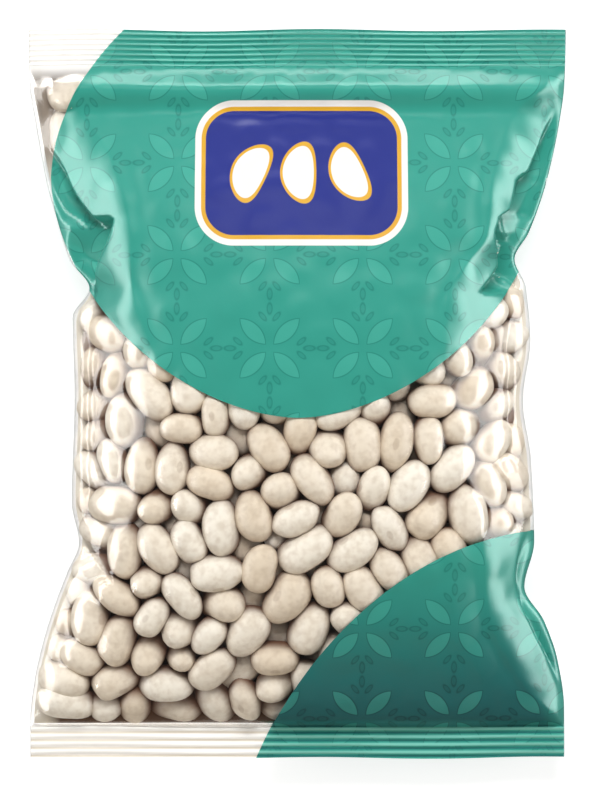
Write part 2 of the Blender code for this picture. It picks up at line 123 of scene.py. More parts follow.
# Folds that run up the pack
UPRIGHT_FOLDS = [  # (height, distance right of the middle, relief) stations, and the spread to both sides
    # inside the upper left shoulder's bend
    (
        [
            (0.0050, -0.0400, 0.0000), (0.0200, -0.0446, -0.0005), (0.0370, -0.0486, -0.0007),
            (0.0480, -0.0484, -0.0007), (0.0610, -0.0498, -0.0007), (0.0736, -0.0546, -0.0005),
            (0.0850, -0.0640, 0.0000),
        ],
        (0.0040, 0.0040),
    ),
    # the lower and the upper part of the hollow outside it, and the thin ridge in the hollow
    (
        [
            (0.0285, -0.0632, 0.0000), (0.0325, -0.0636, -0.0040), (0.0369, -0.0638, -0.0060),
            (0.0415, -0.0628, -0.0072), (0.0476, -0.0600, -0.0080), (0.0522, -0.0584, -0.0076),
            (0.0548, -0.0578, 0.0000),
        ],
        (0.0105, 0.0014),
    ),
    (
        [
            (0.0480, -0.0612, 0.0000), (0.0520, -0.0630, -0.0058), (0.0560, -0.0662, -0.0056),
            (0.0615, -0.0700, -0.0046), (0.0680, -0.0728, -0.0034), (0.0780, -0.0768, 0.0000),
        ],
        (0.0062, 0.0014),
    ),
    (
        [
            (0.0500, -0.0650, 0.0000), (0.0526, -0.0668, 0.0012), (0.0577, -0.0722, 0.0012),
            (0.0677, -0.0760, 0.0008), (0.0720, -0.0768, 0.0000),
        ],
        (0.0011, 0.0011),
    ),
    # inside the upper right shoulder's bend
    (
        [
            (0.0100, 0.0400, 0.0000), (0.0220, 0.0412, -0.0005), (0.0376, 0.0474, -0.0007),
            (0.0492, 0.0548, -0.0008), (0.0646, 0.0562, -0.0007), (0.0760, 0.0592, -0.0005),
            (0.0860, 0.0655, 0.0000),
        ],
        (0.0040, 0.0040),
    ),
    # the hollow outside it, the thin ridge in the hollow and the strip beside the edge above it
    (
        [
            (0.0306, 0.0572, 0.0000), (0.0332, 0.0592, -0.0052), (0.0365, 0.0616, -0.0064),
            (0.0399, 0.0632, -0.0068), (0.0492, 0.0624, -0.0070), (0.0538, 0.0640, -0.0070),
            (0.0569, 0.0672, -0.0068), (0.0655, 0.0690, -0.0062), (0.0685, 0.0705, 0.0000),
        ],
        (0.0014, 0.0095),
    ),
    (
        [
            (0.0400, 0.0672, 0.0000), (0.0440, 0.0664, 0.0011), (0.0517, 0.0654, 0.0011),
            (0.0560, 0.0662, 0.0000),
        ],
        (0.0011, 0.0011),
    ),
    (
        [
            (0.0600, 0.0690, 0.0000), (0.0655, 0.0712, -0.0048), (0.0723, 0.0742, -0.0042),
            (0.0785, 0.0764, -0.0028), (0.0890, 0.0795, 0.0000),
        ],
        (0.0014, 0.0065),
    ),
    # the lower right corner: inside its bend, and the crease beside its edge
    (
        [
            (-0.1000, 0.0760, 0.0000), (-0.0890, 0.0666, -0.0008), (-0.0790, 0.0602, -0.0009),
            (-0.0700, 0.0562, -0.0009), (-0.0580, 0.0544, -0.0007), (-0.0420, 0.0530, 0.0000),
        ],
        (0.0070, 0.0038),
    ),
    (
        [
            (-0.0940, 0.0818, 0.0000), (-0.0818, 0.0786, -0.0020), (-0.0715, 0.0737, -0.0026),
            (-0.0630, 0.0700, -0.0026), (-0.0560, 0.0684, -0.0022), (-0.0470, 0.0694, -0.0016),
            (-0.0400, 0.0706, 0.0000),
        ],
        (0.0014, 0.0052),
    ),
    # the lower left corner: inside its bend, and the crease beside its edge
    (
        [
            (-0.0960, -0.0740, 0.0000), (-0.0800, -0.0645, -0.0009), (-0.0650, -0.0580, -0.0009),
            (-0.0480, -0.0535, 0.0000),
        ],
        (0.0028, 0.0070),
    ),
    (
        [
            (-0.0600, -0.0560, 0.0000), (-0.0560, -0.0588, -0.0022), (-0.0520, -0.0618, -0.0024),
            (-0.0480, -0.0646, -0.0020), (-0.0425, -0.0675, 0.0000),
        ],
        (0.0050, 0.0014),
    ),
    # the long soft pleats beside the clear window
    (
        [
            (-0.0420, -0.0640, 0.0000), (-0.0200, -0.0650, -0.0009), (0.0120, -0.0645, -0.0009),
            (0.0300, -0.0635, 0.0000),
        ],
        (0.0014, 0.0014),
    ),
    (
        [
            (-0.0180, 0.0655, 0.0000), (-0.0050, 0.0652, -0.0010), (0.0120, 0.0652, -0.0010),
            (0.0260, 0.0660, 0.0000),
        ],
        (0.0014, 0.0014),
    ),
]
CREASE_SPREAD = 0.0015  # what spreads no more than this is sharper than in the solid
SHARPER = 1.5  # by this factor
FOLD_FREE_EDGE = 0.0025  # how far from a side edge the folds have their full relief
FOLD_FREE_SEAL = 0.004
LONG_SPREAD = 0.004  # a fold that spreads further than this slopes evenly on that side
LEAN_STEP = 0.001  # the height over which a fold's lean is measured
BACK_SHARE = 0.5  # of these folds' depth, on the back

# The print's edges are two flattened ovals
PRINT_CENTRE = (0.0003, 0.0668)
PRINT_HALF_SIZES = (0.0762, 0.0699, 0.0737)  # across, up and down
PRINT_POWER = 1.78  # 2 is an ellipse, and less is flatter between its ends
CORNER_CENTRE = (0.0750, -0.1725)
CORNER_HALF_SIZES = (0.1007, 0.1310)
CORNER_POWER = 1.9

# The beans' shapes, and their painted shade
BEAN_HALF_LENGTH = 0.0083
BEAN_HALF_WIDTH = 0.00575
BEAN_SIZES = (0.87, 1.12)
BEAN_LENGTHS = (0.94, 1.07)  # how a bean's length strays from the rest of its size
BEAN_BENDS = (0.02, 0.18)
BEAN_TAPERS = (-0.09, 0.09)
BEAN_BLUNTNESS = (2.0, 2.8)  # 2 is an ellipsoid, and more has blunter ends
BEAN_FLATNESS = (0.86, 1.0)
BEAN_UNEVEN = 0.022  # how much a bean strays from an even shape, as a share
UNEVEN_PACE = 2.4  # how quickly that changes along a bean
HILUM_SIZE = (0.22, 0.3)  # of the small dent in a bean's side
HILUM_DEPTH = 0.05
FINE_BEAN = (16, 22)  # rings and sides of a bean near the front, and then of the others
COARSE_BEAN = (10, 14)
FINE_DEPTH = 0.009  # how far under the front the fine ones are
SEEN_DEPTH = 0.0185  # a bean that is deeper than this under both faces can't be seen
UNDER_PRINT = 0.013  # nor can one this far inside the print
PAINTED_SIDE_SHADE = 0.94  # how dark painted shade makes a bean's side away from the film
PAINTED_SIDE_SHADE_FROM = (0.32, 1.02)  # how many half widths below its top that starts and is full
PAINTED_DEEP_SHADE = 0.35  # how dark painted shade makes a bean far below the film
PAINTED_DEEP_SHADE_FROM = (0.0015, 0.0110)

# How the beans are packed
BEAN_COUNT = 680
BEAN_SEED = 5
SPOTS_PER_BEAN = 8  # tried at random
SPOT_ROOM = 0.003  # that a spot needs above and below it
FIRST_LEAN = (1, 1, 0.5)  # how freely the beans point in x, y and z at first
END_SIZE = 0.84  # of the spheres at a bean's ends, as a share of its middle one
FIRST_SIZE = 0.72  # the beans start this small
GROWTH = 0.6  # and would grow by this much in all the steps, but stop at their full size
SETTLE_STEPS = 170
PAIR_STEPS = 4  # from one search for beans that may touch to the next
PAIR_REACH = 2.35  # how many half lengths are between the middles of such beans at most
WALL_PUSH = 0.9  # the share of an overlap with the film that is taken off in each step
BEAN_PUSH = 0.3  # and of one with another bean
MOST_PUSH = 0.004  # that the film gives a bean in each step
OUTWARD_DRIFT = 0.00008  # how far the beans beside the film are pushed against it in each step
DRIFT_SIDE = (0.040, 0.060)  # how far from the middle line that starts and is full
DRIFT_LOW = (0.070, 0.095)  # and how far below the pack's middle
DRIFT_MIDDLE = 0.020  # the beans above this height drift up and the others down
DRIFT_UP = 0.5  # how strongly, against the drift to the sides
SHAKE = 0.00025  # how far the beans jump at random, less and less
SHAKE_SHARE = 0.7  # of the steps
LIE_REACH = 0.009  # the beans this near the film turn to lie along it
LIE_FULL = 0.7  # of that reach, within which they turn fully
LIE_STEP = 0.04  # by this share in each step
EDGE_ROOM = 0.0048  # between a side edge and the middle of a bean
END_ROOM = 0.0052  # between a seal and the middle of a bean
WALL_GAP = 0.0003  # between the beans and the film
TUCK_GAP = 0.0002  # the same, for the beans' final shapes
PRINT_TUCK = 0.0016  # how much larger that is under the print
PRINT_TUCK_FROM = (0.0, 0.006)  # how far inside the print's edge that starts and is full
TUCK_ROUNDS = 3
MOST_TUCK = 0.003  # in each round

# How the film lies over them
FILM_DRAPE = 0.0013  # how deep the film sinks between the beans
DRAPE_BLUR = 0.0011
PRESSED_FROM = (0.001, 0.007)  # how far from the pack's edges the film starts to sink, and sinks fully
PRINTED_DRAPE = 0.25  # the share of that under the print
PRINT_FADE = (-0.004, 0.006)  # how far outside the print's edge it starts to grow, and sinks fully
CAST_FROM = 0.004  # how far outside the film it is tested against the beans
BEAN_CLEARANCE = 0.00012  # between the film and the beans that it lies on
GATHERS = (  # the small gathers beside the seals: share, pace, sway, and the sway's pace and start
    (1.0, 640.0, 2.1, 83.0, 0.0),
    (0.6, 1130.0, 1.7, 131.0, 1.0),
)
GATHER_HEIGHT = 0.00016
GATHER_REACH = 0.009

# The core behind them, a sheet dark with painted shade
CORE_ROWS = 61
CORE_COLUMNS = 41
CORE_RIM = 0.0012  # how far inside the film its rim stays
CORE_REACH = 0.0022  # it clears the film's folds by this much on every side
CORE_PAINTED_SHADE_TOP = (0.062, 0.078)  # above this height painted shade darkens its edge too
CORE_TOP_SHARE = 0.75  # by this much
CORE_PAINTED_LIGHT_EDGE = (0.002, 0.008)  # painted light makes it pale this near to a side edge, and painted shade dark from there
CORE_INSET = 0.0105  # how far under both faces of the film it lies
CORE_THIN = 0.0003  # half its thickness where those are too close for that

# The film's mesh
HALF_LOOP = 200  # columns over the front
EDGE_CROWDING = 0.6  # how much closer together they are at the side edges
BODY_STEP = 0.00095
RIB_STEPS = 8  # rows on each rib
MAP_STEP = 0.0006  # of the height maps


def smooth_through(stations, at):
    """Values on a smooth curve through (position, value) stations that doesn't overshoot them."""
    where, value = np.array(stations).T
    step = np.diff(where)
    slope = np.diff(value) / step
    tangent = np.zeros_like(value)
    product = slope[:-1] * slope[1:]
    total = np.where(product > 0, slope[:-1] + slope[1:], 1.0)
    tangent[1:-1] = np.where(product > 0, 2 * product / total, 0.0)
    i = np.clip(np.searchsorted(where, at) - 1, 0, len(step) - 1)
    t = np.clip((at - where[i]) / step[i], 0, 1)
    rise = t * t * (3 - 2 * t)
    start = t * (1 - t) ** 2 * step[i] * tangent[i]
    end = t * t * (t - 1) * step[i] * tangent[i + 1]
    return value[i] + rise * (value[i + 1] - value[i]) + start + end


def ramp(value, low, high):
    """0 up to low, 1 from high, and a smooth rise between them."""
    t = np.clip((value - low) / (high - low), 0, 1)
    return t * t * (3 - 2 * t)


def by_side(s, left, right, y):
    """Values at heights up the pack: by the left side's stations where s is below 0, else the right's."""
    return np.where(s < 0, smooth_through(left, y), smooth_through(right, y))


def swell(distance, run, roundness=SWELL_ROUNDNESS):
    """How much of its full height the film has at this distance from an edge: a rounded rise over a run."""
    left = np.clip(1 - distance / run, 0, 1)
    return (1 - left**SWELL_POWER) ** (1 / roundness)


def heights_up_the_pack():
    """The rows of the mesh, from the bottom seal's cut edge to the top one's: close together on the ribs."""
    bottom = np.linspace(-PACK_LENGTH / 2, BODY_LOW, BOTTOM_RIBS * RIB_STEPS + 1)
    top = np.linspace(BODY_HIGH, PACK_LENGTH / 2, TOP_RIBS * RIB_STEPS + 1)
    body_rows = round((top[0] - bottom[-1]) / BODY_STEP)
    body = np.linspace(bottom[-1], top[0], body_rows + 1)[1:-1]
    return np.concatenate([bottom, body, top])


def steps_across():
    """Where the columns of the mesh are, from -1 at the left edge to 1 at the right one."""
    t = np.linspace(-1, 1, HALF_LOOP + 1)
    return (1 - EDGE_CROWDING) * t + EDGE_CROWDING * np.sin(t * math.pi / 2)


def rib_relief(y):
    """The crimp of both seals: ribs across the pack, which the front and back share."""
    top = np.where(y > BODY_HIGH, np.sin((y - BODY_HIGH) / TOP_SEAL * TOP_RIBS * 2 * math.pi), 0)
    bottom = np.where(y < BODY_LOW, np.sin((BODY_LOW - y) / BOTTOM_SEAL * BOTTOM_RIBS * 2 * math.pi), 0)
    return RIB_DEPTH / 2 * (top + bottom)


def fold_relief(x, y):
    """How far the folds raise or sink the film at a point of the front, seen from above."""
    ridges, creases = np.zeros_like(x), np.zeros_like(x)
    for stations, (spread_left, spread_right) in UPRIGHT_FOLDS:
        path = [(height, aside) for height, aside, _ in stations]
        depth = smooth_through([(height, relief) for height, _, relief in stations], y)
        middle = smooth_through(path, y)
        lean = (smooth_through(path, y + LEAN_STEP) - middle) / LEAN_STEP
        away = np.abs(x - middle) / np.sqrt(1 + lean**2)
        spread = np.where(x < middle, spread_left, spread_right)
        spread = np.where(spread > CREASE_SPREAD, spread, spread / SHARPER)
        bell = np.exp(-((away / spread) ** 2))
        slope = np.clip(1 - away / spread, 0, 1)
        relief = depth * np.where(spread > LONG_SPREAD, slope, bell)
        ridges, creases = np.maximum(ridges, relief), np.minimum(creases, relief)
    return ridges + creases


def inside_oval(dx, dy, width, height, power):
    """Above 0 inside an oval of these half sizes: about how far inside it a point is."""
    return (1 - ((np.abs(dx) / width) ** power + (np.abs(dy) / height) ** power) ** (1 / power)) * height


def in_print(x, y):
    """Above 0 where the film is printed: in either oval, or above and right of the upper one's middle."""
    dx, dy = x - PRINT_CENTRE[0], y - PRINT_CENTRE[1]
    width, height_up, height_down = PRINT_HALF_SIZES
    main = inside_oval(dx, dy, width, np.where(dy > 0, height_up, height_down), PRINT_POWER)
    corner = inside_oval(x - CORNER_CENTRE[0], y - CORNER_CENTRE[1], *CORNER_HALF_SIZES, CORNER_POWER)
    return np.maximum(np.maximum(main, np.minimum(dx, dy)), corner)


def plain_pillow():
    """The pack without its folds, as rows of loops, and how far each point is from a side edge and a seal."""
    across = steps_across()
    y, s = np.meshgrid(heights_up_the_pack(), np.concatenate([across, across[-2:0:-1]]), indexing="ij")
    front = np.broadcast_to(np.arange(2 * HALF_LOOP) <= HALF_LOOP, y.shape)
    half_width = by_side(s, LEFT_EDGE, RIGHT_EDGE, y)
    x = s * half_width
    from_edge = (1 - np.abs(s)) * half_width
    from_top = PACK_LENGTH / 2 - TOP_SEAL - y
    from_bottom = y + PACK_LENGTH / 2 - BOTTOM_SEAL
    from_seal = np.clip(np.minimum(from_top, from_bottom), 0, None)
    side = smooth_through(SIDE_LINE, y)
    for height, pace, start in SEAL_WAVES:
        side += height * np.sin(x * pace + start) * (1 - ramp(from_seal, 0, SEAL_WAVE_FADE))
    height = np.maximum(smooth_through(FRONT_LINE, y) - smooth_through(SIDE_LINE, y), 0)
    bend = by_side(s, LEFT_BEND, RIGHT_BEND, y)
    roundness = smooth_through(SIDE_ROUNDNESS, y)
    height *= swell(from_edge, half_width - bend, roundness) * (1 - CROWN * s**2) * (from_seal > 0)
    depth = smooth_through(SIDE_LINE, y) * BACK_SPARE
    depth *= swell(from_edge, BACK_RUN, roundness) * swell(from_seal, BACK_RISE)
    seal = SEAL_THICKNESS / 2 * (1 - np.abs(s) ** SEAL_EDGE_POWER)
    z = side + rib_relief(y) + np.where(front, height + seal, -depth - seal)
    return np.stack([x, y, z], axis=-1), from_edge, from_seal, front


def facing(points):
    """Unit normals of rows of loops, out of the pack."""
    ring = np.roll(points, -1, axis=1) - np.roll(points, 1, axis=1)
    normal = np.cross(ring, np.gradient(points, axis=0))
    return normal / np.maximum(np.linalg.norm(normal, axis=-1, keepdims=True), 1e-12)


class Film:
    """The film as rows of loops: over the front from left to right, then back under the pack."""

    def __init__(self):
        self.points, from_edge, self.from_seal, self.front = plain_pillow()
        self.x, self.y, _ = np.moveaxis(self.points, -1, 0)
        self.normals = facing(self.points)
        self.clear_of_edge = ramp(from_edge, 0, FOLD_FREE_EDGE) * ramp(self.from_seal, 0, FOLD_FREE_SEAL)
        self.pressed = ramp(from_edge, *PRESSED_FROM) * ramp(self.from_seal, *PRESSED_FROM)
        self.raise_by(fold_relief(self.x, self.y) * np.where(self.front, 1.0, BACK_SHARE))
        height, pace, start = EDGE_WAVE
        near_cut = 1 - ramp(self.from_seal, 0, EDGE_WAVE_FADE)
        self.points[..., 1] += height * np.sin(self.x * pace + start) * near_cut

    def raise_by(self, relief):
        """Moves the film along its normals, but not at its edges, and keeps it above the floor."""
        self.points = self.points + self.normals * (relief * self.clear_of_edge)[..., None]
        self.points[..., 2] = np.maximum(self.points[..., 2], 0)


class HeightMap:
    """The height of one face of the film over a grid of x and y, read from the film's rows."""

    def __init__(self, film, front):
        half = film.points[:, : HALF_LOOP + 1] if front else film.points[:, HALF_LOOP:]
        if not front:
            half = np.concatenate([half, film.points[:, :1]], axis=1)[:, ::-1]
        self.xs = np.arange(-FLAT_WIDTH / 2, FLAT_WIDTH / 2 + MAP_STEP, MAP_STEP)
        self.ys = np.arange(-PACK_LENGTH / 2, PACK_LENGTH / 2 + MAP_STEP, MAP_STEP)
        by_row = np.array([np.interp(self.xs, row[:, 0], row[:, 2]) for row in half])
        row_y = np.maximum.accumulate(half[:, HALF_LOOP // 2, 1])
        self.z = np.array([np.interp(self.ys, row_y, column) for column in by_row.T])
        self.slope_x, self.slope_y = np.gradient(self.z, MAP_STEP)

    def read(self, field, x, y):
        """A field's values at these points, between those at the corners of the grid."""
        u = np.clip((x - self.xs[0]) / MAP_STEP, 0, field.shape[0] - 1.001)
        v = np.clip((y - self.ys[0]) / MAP_STEP, 0, field.shape[1] - 1.001)
        i, j = u.astype(int), v.astype(int)
        a, b = u - i, v - j
        low = field[i, j] * (1 - a) + field[i + 1, j] * a
        high = field[i, j + 1] * (1 - a) + field[i + 1, j + 1] * a
        return low * (1 - b) + high * b

    def height(self, x, y):
        return self.read(self.z, x, y)

    def slopes(self, x, y):
        return self.read(self.slope_x, x, y), self.read(self.slope_y, x, y)

    def overlap(self, points, gap, sign):
        """How far points are past a gap from the film, the way back in, and how upright the film is there."""
        x, y, z = np.moveaxis(points, -1, 0)
        slope_x, slope_y = self.slopes(x, y)
        upright = 1 / np.sqrt(1 + slope_x**2 + slope_y**2)
        inward = sign * np.stack([slope_x, slope_y, -np.ones_like(x)], -1)
        return gap - sign * (self.height(x, y) - z) * upright, inward, upright

    def push(self, spheres, radius, sign):
        """How each sphere has to move to stay clear of the film. Sign is 1 for the front, -1 for the back."""
        over, inward, upright = self.overlap(spheres, radius + WALL_GAP, sign)
        return inward * (upright * np.clip(over, 0, MOST_PUSH))[..., None]

    def upright_share(self, centre, axis, sign):
        """The part to take off each bean's axis for it to turn along the film that it lies near."""
        x, y, z = centre.T
        slope_x, slope_y = self.slopes(x, y)
        normal = np.stack([-slope_x, -slope_y, np.ones_like(x)], 1)
        normal /= np.linalg.norm(normal, axis=1, keepdims=True)
        away = sign * (self.height(x, y) - z) * normal[:, 2]
        share = LIE_STEP * (1 - ramp(away, LIE_FULL * LIE_REACH, LIE_REACH))
        return normal * ((axis * normal).sum(1) * share)[:, None]

    def tuck(self, placed, sign, margin):
        """How far one bean has to move to clear the film by a margin, by its point that is furthest out."""
        over, inward, upright = self.overlap(placed, margin, sign)
        worst = np.argmax(over)
        if over[worst] <= 0:
            return np.zeros(3)
        return inward[worst] * upright[worst] * min(over[worst], MOST_TUCK)


def first_places(random, front, back):
    """Random spots inside the pack for the beans' middles."""
    corner = np.array([FLAT_WIDTH / 2, PACK_LENGTH / 2, 0])
    spots = random.uniform(-corner, corner + (0, 0, front.z.max()), (BEAN_COUNT * SPOTS_PER_BEAN, 3))
    above = front.height(spots[:, 0], spots[:, 1]) - spots[:, 2]
    below = spots[:, 2] - back.height(spots[:, 0], spots[:, 1])
    return spots[np.minimum(above, below) > SPOT_ROOM][:BEAN_COUNT]


def push_apart(move, spheres, radius, grown, pairs):
    """Adds to each sphere's move what takes it out of the spheres of other beans."""
    a, b = pairs
    for i in range(3):
        for j in range(3):
            gap = spheres[a, i] - spheres[b, j]
            distance = np.linalg.norm(gap, axis=1)
            over = (radius[a, i] + radius[b, j]) * grown - distance
            hit = over > 0
            share = gap[hit] * (BEAN_PUSH * over[hit] / np.maximum(distance[hit], 1e-9))[:, None]
            np.add.at(move[:, i], a[hit], share)
            np.add.at(move[:, j], b[hit], -share)


def drift(centre):
    """How far each bean's middle moves outwards in one step."""
    x, y, z = centre.T
    across = np.sign(x) * ramp(np.abs(x), *DRIFT_SIDE)
    return OUTWARD_DRIFT * np.stack([across, -ramp(-y, *DRIFT_LOW), np.sign(z - DRIFT_MIDDLE) * DRIFT_UP], 1)


def pack_beans(front, back):
    """Beans as rods of three spheres that grow and push each other apart until they fill the pack."""
    random = np.random.default_rng(BEAN_SEED)
    centre = first_places(random, front, back)
    count = len(centre)
    axis = random.normal(size=(count, 3)) * FIRST_LEAN
    axis /= np.linalg.norm(axis, axis=1, keepdims=True)
    size = random.uniform(*BEAN_SIZES, count)
    half_length = BEAN_HALF_LENGTH * size * random.uniform(*BEAN_LENGTHS, count)
    half_width = BEAN_HALF_WIDTH * size
    end = half_width * END_SIZE
    reach = (half_length - end)[:, None, None] * np.array([-1, 0, 1])[None, :, None]
    radius = np.stack([end, half_width, end], 1)
    for step in range(SETTLE_STEPS):
        grown = min(1.0, FIRST_SIZE + GROWTH * step / SETTLE_STEPS)
        spheres = centre[:, None] + axis[:, None] * reach * grown
        if step % PAIR_STEPS == 0:
            squares = ((centre[:, None] - centre[None]) ** 2).sum(-1)
            pairs = np.nonzero(np.triu(squares < (PAIR_REACH * BEAN_HALF_LENGTH) ** 2, 1))
        move = front.push(spheres, radius * grown, 1) + back.push(spheres, radius * grown, -1)
        move *= WALL_PUSH
        push_apart(move, spheres, radius, grown, pairs)
        spheres += move
        centre = spheres.mean(1)
        axis = spheres[:, 2] - spheres[:, 0]
        for wall, sign in ((front, 1), (back, -1)):
            axis -= wall.upright_share(centre, axis, sign)
        axis /= np.linalg.norm(axis, axis=1, keepdims=True)
        centre += drift(centre)
        if step < SHAKE_SHARE * SETTLE_STEPS:
            centre += random.normal(0, SHAKE, centre.shape) * (1 - step / SETTLE_STEPS)
        left, right = (smooth_through(edge, centre[:, 1]) - EDGE_ROOM for edge in (LEFT_EDGE, RIGHT_EDGE))
        centre[:, 0] = np.clip(centre[:, 0], -left, right)
        centre[:, 1] = np.clip(centre[:, 1], BODY_LOW + END_ROOM, BODY_HIGH - END_ROOM)
    return centre, axis, half_length, half_width


def bean_shape(rings, sides):
    """A bean's points on a unit sphere's plan: (along, across, through) before it is sized, and its faces."""
    points = [(-1.0, 0.0, 0.0)]
    for ring in range(1, rings):
        angle = math.pi * ring / rings
        for side in range(sides):
            turn = 2 * math.pi * side / sides
            across, through = math.sin(angle) * math.cos(turn), math.sin(angle) * math.sin(turn)
            points.append((-math.cos(angle), across, through))
    points.append((1.0, 0.0, 0.0))
    faces = []
    last = len(points) - 1
    for side in range(sides):
        after = (side + 1) % sides
        faces.append((0, 1 + after, 1 + side))
        faces.append((last, last - sides + side, last - sides + after))
        for ring in range(rings - 2):
            start = 1 + ring * sides
            faces.append((start + side, start + after, start + sides + after, start + sides + side))
    return np.array(points), faces


def draw_chances(random):
    """What chance decides about a bean: its spin, its tint and the values of its shape."""
    spin = random.uniform(0, 2 * math.pi)
    bend, taper, blunt = (random.uniform(*limits) for limits in (BEAN_BENDS, BEAN_TAPERS, BEAN_BLUNTNESS))
    turns, starts = random.normal(0, UNEVEN_PACE, (3, 3)), random.uniform(0, 2 * math.pi, 3)
    flatness, tint = random.uniform(*BEAN_FLATNESS), random.uniform(0, 1)
    return spin, tint, (bend, taper, blunt, flatness, turns, starts)


def shape_bean(unit, half_length, half_width, shape):
    """A bean's points with its taper, bend, small dent and uneven skin, and where each is on a plain bean."""
    bend, taper, blunt, flatness, turns, starts = shape
    along, across, through = unit.T
    girth = (1 - np.abs(along) ** blunt) ** 0.5 / np.sqrt(np.maximum(1 - along**2, 1e-9))
    girth = np.where(np.abs(along) > 0.9999, 0, girth) * (1 + taper * along)
    across = across * girth
    through = through * girth * flatness
    hilum = np.exp(-((along / HILUM_SIZE[0]) ** 2) - ((through / HILUM_SIZE[1]) ** 2)) * (across > 0)
    bent = across - bend * (1 - along**2) * 0.5 + bend * 0.25 - HILUM_DEPTH * hilum
    sized = np.stack([along * half_length, bent * half_width, through * half_width], 1)
    local = np.stack([along, across, through], 1)
    sized *= 1 + BEAN_UNEVEN * np.sin(local @ turns.T + starts).sum(1, keepdims=True)
    return sized, local


def lay_bean(sized, centre, axis, spin):
    """A bean's points in the pack, along its axis and turned about it."""
    helper = np.array([0, 0, 1.0]) if abs(axis[2]) < 0.9 else np.array([1.0, 0, 0])
    side = np.cross(axis, helper)
    side /= np.linalg.norm(side)
    up = np.cross(axis, side)
    across = math.cos(spin) * side + math.sin(spin) * up
    through = math.cos(spin) * up - math.sin(spin) * side
    return centre + sized[:, :1] * axis + sized[:, 1:2] * across + sized[:, 2:] * through


def tuck_bean(placed, front, back, printed):
    """A laid bean moved clear of the film, the side edges and the seals."""
    margin = TUCK_GAP + PRINT_TUCK * float(ramp(printed, *PRINT_TUCK_FROM))
    for _ in range(TUCK_ROUNDS):
        placed = placed + front.tuck(placed, 1, margin) + back.tuck(placed, -1, margin)
        left = placed[:, 0] + smooth_through(LEFT_EDGE, placed[:, 1]) - WALL_GAP
        right = placed[:, 0] - smooth_through(RIGHT_EDGE, placed[:, 1]) + WALL_GAP
        placed[:, 0] -= min(left.min(), 0) + max(right.max(), 0)
        low, high = placed[:, 1] - BODY_LOW - WALL_GAP, placed[:, 1] - BODY_HIGH + WALL_GAP
        placed[:, 1] -= min(low.min(), 0) + max(high.max(), 0)
    return placed


def paint_bean_shade(placed, front, back, half_width):
    """Painted shade at each point of a bean: on its side away from the film, and over all of it deep in the
    pack.
    """
    x, y, z = placed.T
    below = np.minimum(front.height(x, y) - z, z - back.height(x, y))
    far_side_shade = PAINTED_SIDE_SHADE * ramp((below - below.min()) / half_width, *PAINTED_SIDE_SHADE_FROM)
    return 1 - (1 - far_side_shade) * (1 - PAINTED_DEEP_SHADE * ramp(below.min(), *PAINTED_DEEP_SHADE_FROM))


def make_beans(front, back, packed):
    """The beans that can be seen through the clear film, as one piece."""
    random = np.random.default_rng(BEAN_SEED + 1)
    points, faces, places, tints, painted_shades = [], [], [], [], []
    fine, coarse = bean_shape(*FINE_BEAN), bean_shape(*COARSE_BEAN)
    start = 0
    for centre, axis, half_length, half_width in zip(*packed):
        under_front = front.height(centre[:1], centre[1:2])[0] - centre[2]
        over_back = centre[2] - back.height(centre[:1], centre[1:2])[0]
        printed = in_print(centre[0], centre[1])
        spin, tint, shape = draw_chances(random)
        if printed > UNDER_PRINT or min(under_front, over_back) > SEEN_DEPTH:
            continue
        unit, unit_faces = fine if under_front < FINE_DEPTH else coarse
        sized, local = shape_bean(unit, half_length, half_width, shape)
        placed = tuck_bean(lay_bean(sized, centre, axis, spin), front, back, printed)
        points.append(placed)
        faces += [tuple(start + i for i in face) for face in unit_faces]
        start += len(unit)
        places.append(local)
        tints.append(np.full(len(unit), tint))
        # painted shade for each point of the bean
        painted_shades.append(paint_bean_shade(placed, front, back, half_width))
    beans = add_mesh("white_beans", np.concatenate(points), faces)
    put_attribute(beans.data, "bean_at", "FLOAT_VECTOR", np.concatenate(places))
    put_attribute(beans.data, "bean_tint", "FLOAT", np.concatenate(tints))
    put_attribute(beans.data, "bean_painted_shade", "FLOAT", np.concatenate(painted_shades))
    return beans


def add_object(name, data):
    """A new object in the scene."""
    made = bpy.data.objects.new(name, data)
    bpy.context.scene.collection.objects.link(made)
    return made


def add_mesh(name, points, faces):
    """A new object with a smooth mesh."""
    mesh = bpy.data.meshes.new(name)
    mesh.from_pydata(np.asarray(points).tolist(), [], faces)
    mesh.shade_smooth()
    return add_object(name, mesh)


def put_attribute(mesh, name, kind, values):
    """Gives each point of a mesh its value, for the materials to read."""
    attribute = mesh.attributes.new(name, kind, "POINT")
    key = "vector" if kind == "FLOAT_VECTOR" else "value"
    attribute.data.foreach_set(key, np.asarray(values, np.float32).ravel())


def blurred(field, spread):
    """A field smoothed by a bell curve of this spread, in metres."""
    reach = int(math.ceil(3 * spread / MAP_STEP))
    bell = np.exp(-((np.arange(-reach, reach + 1) * MAP_STEP / spread) ** 2) / 2)
    bell /= bell.sum()
    for axis in (0, 1):
        padded = np.pad(field, [(reach, reach) if k == axis else (0, 0) for k in (0, 1)], mode="edge")
        field = np.apply_along_axis(lambda line: np.convolve(line, bell, "valid"), axis, padded)
    return field


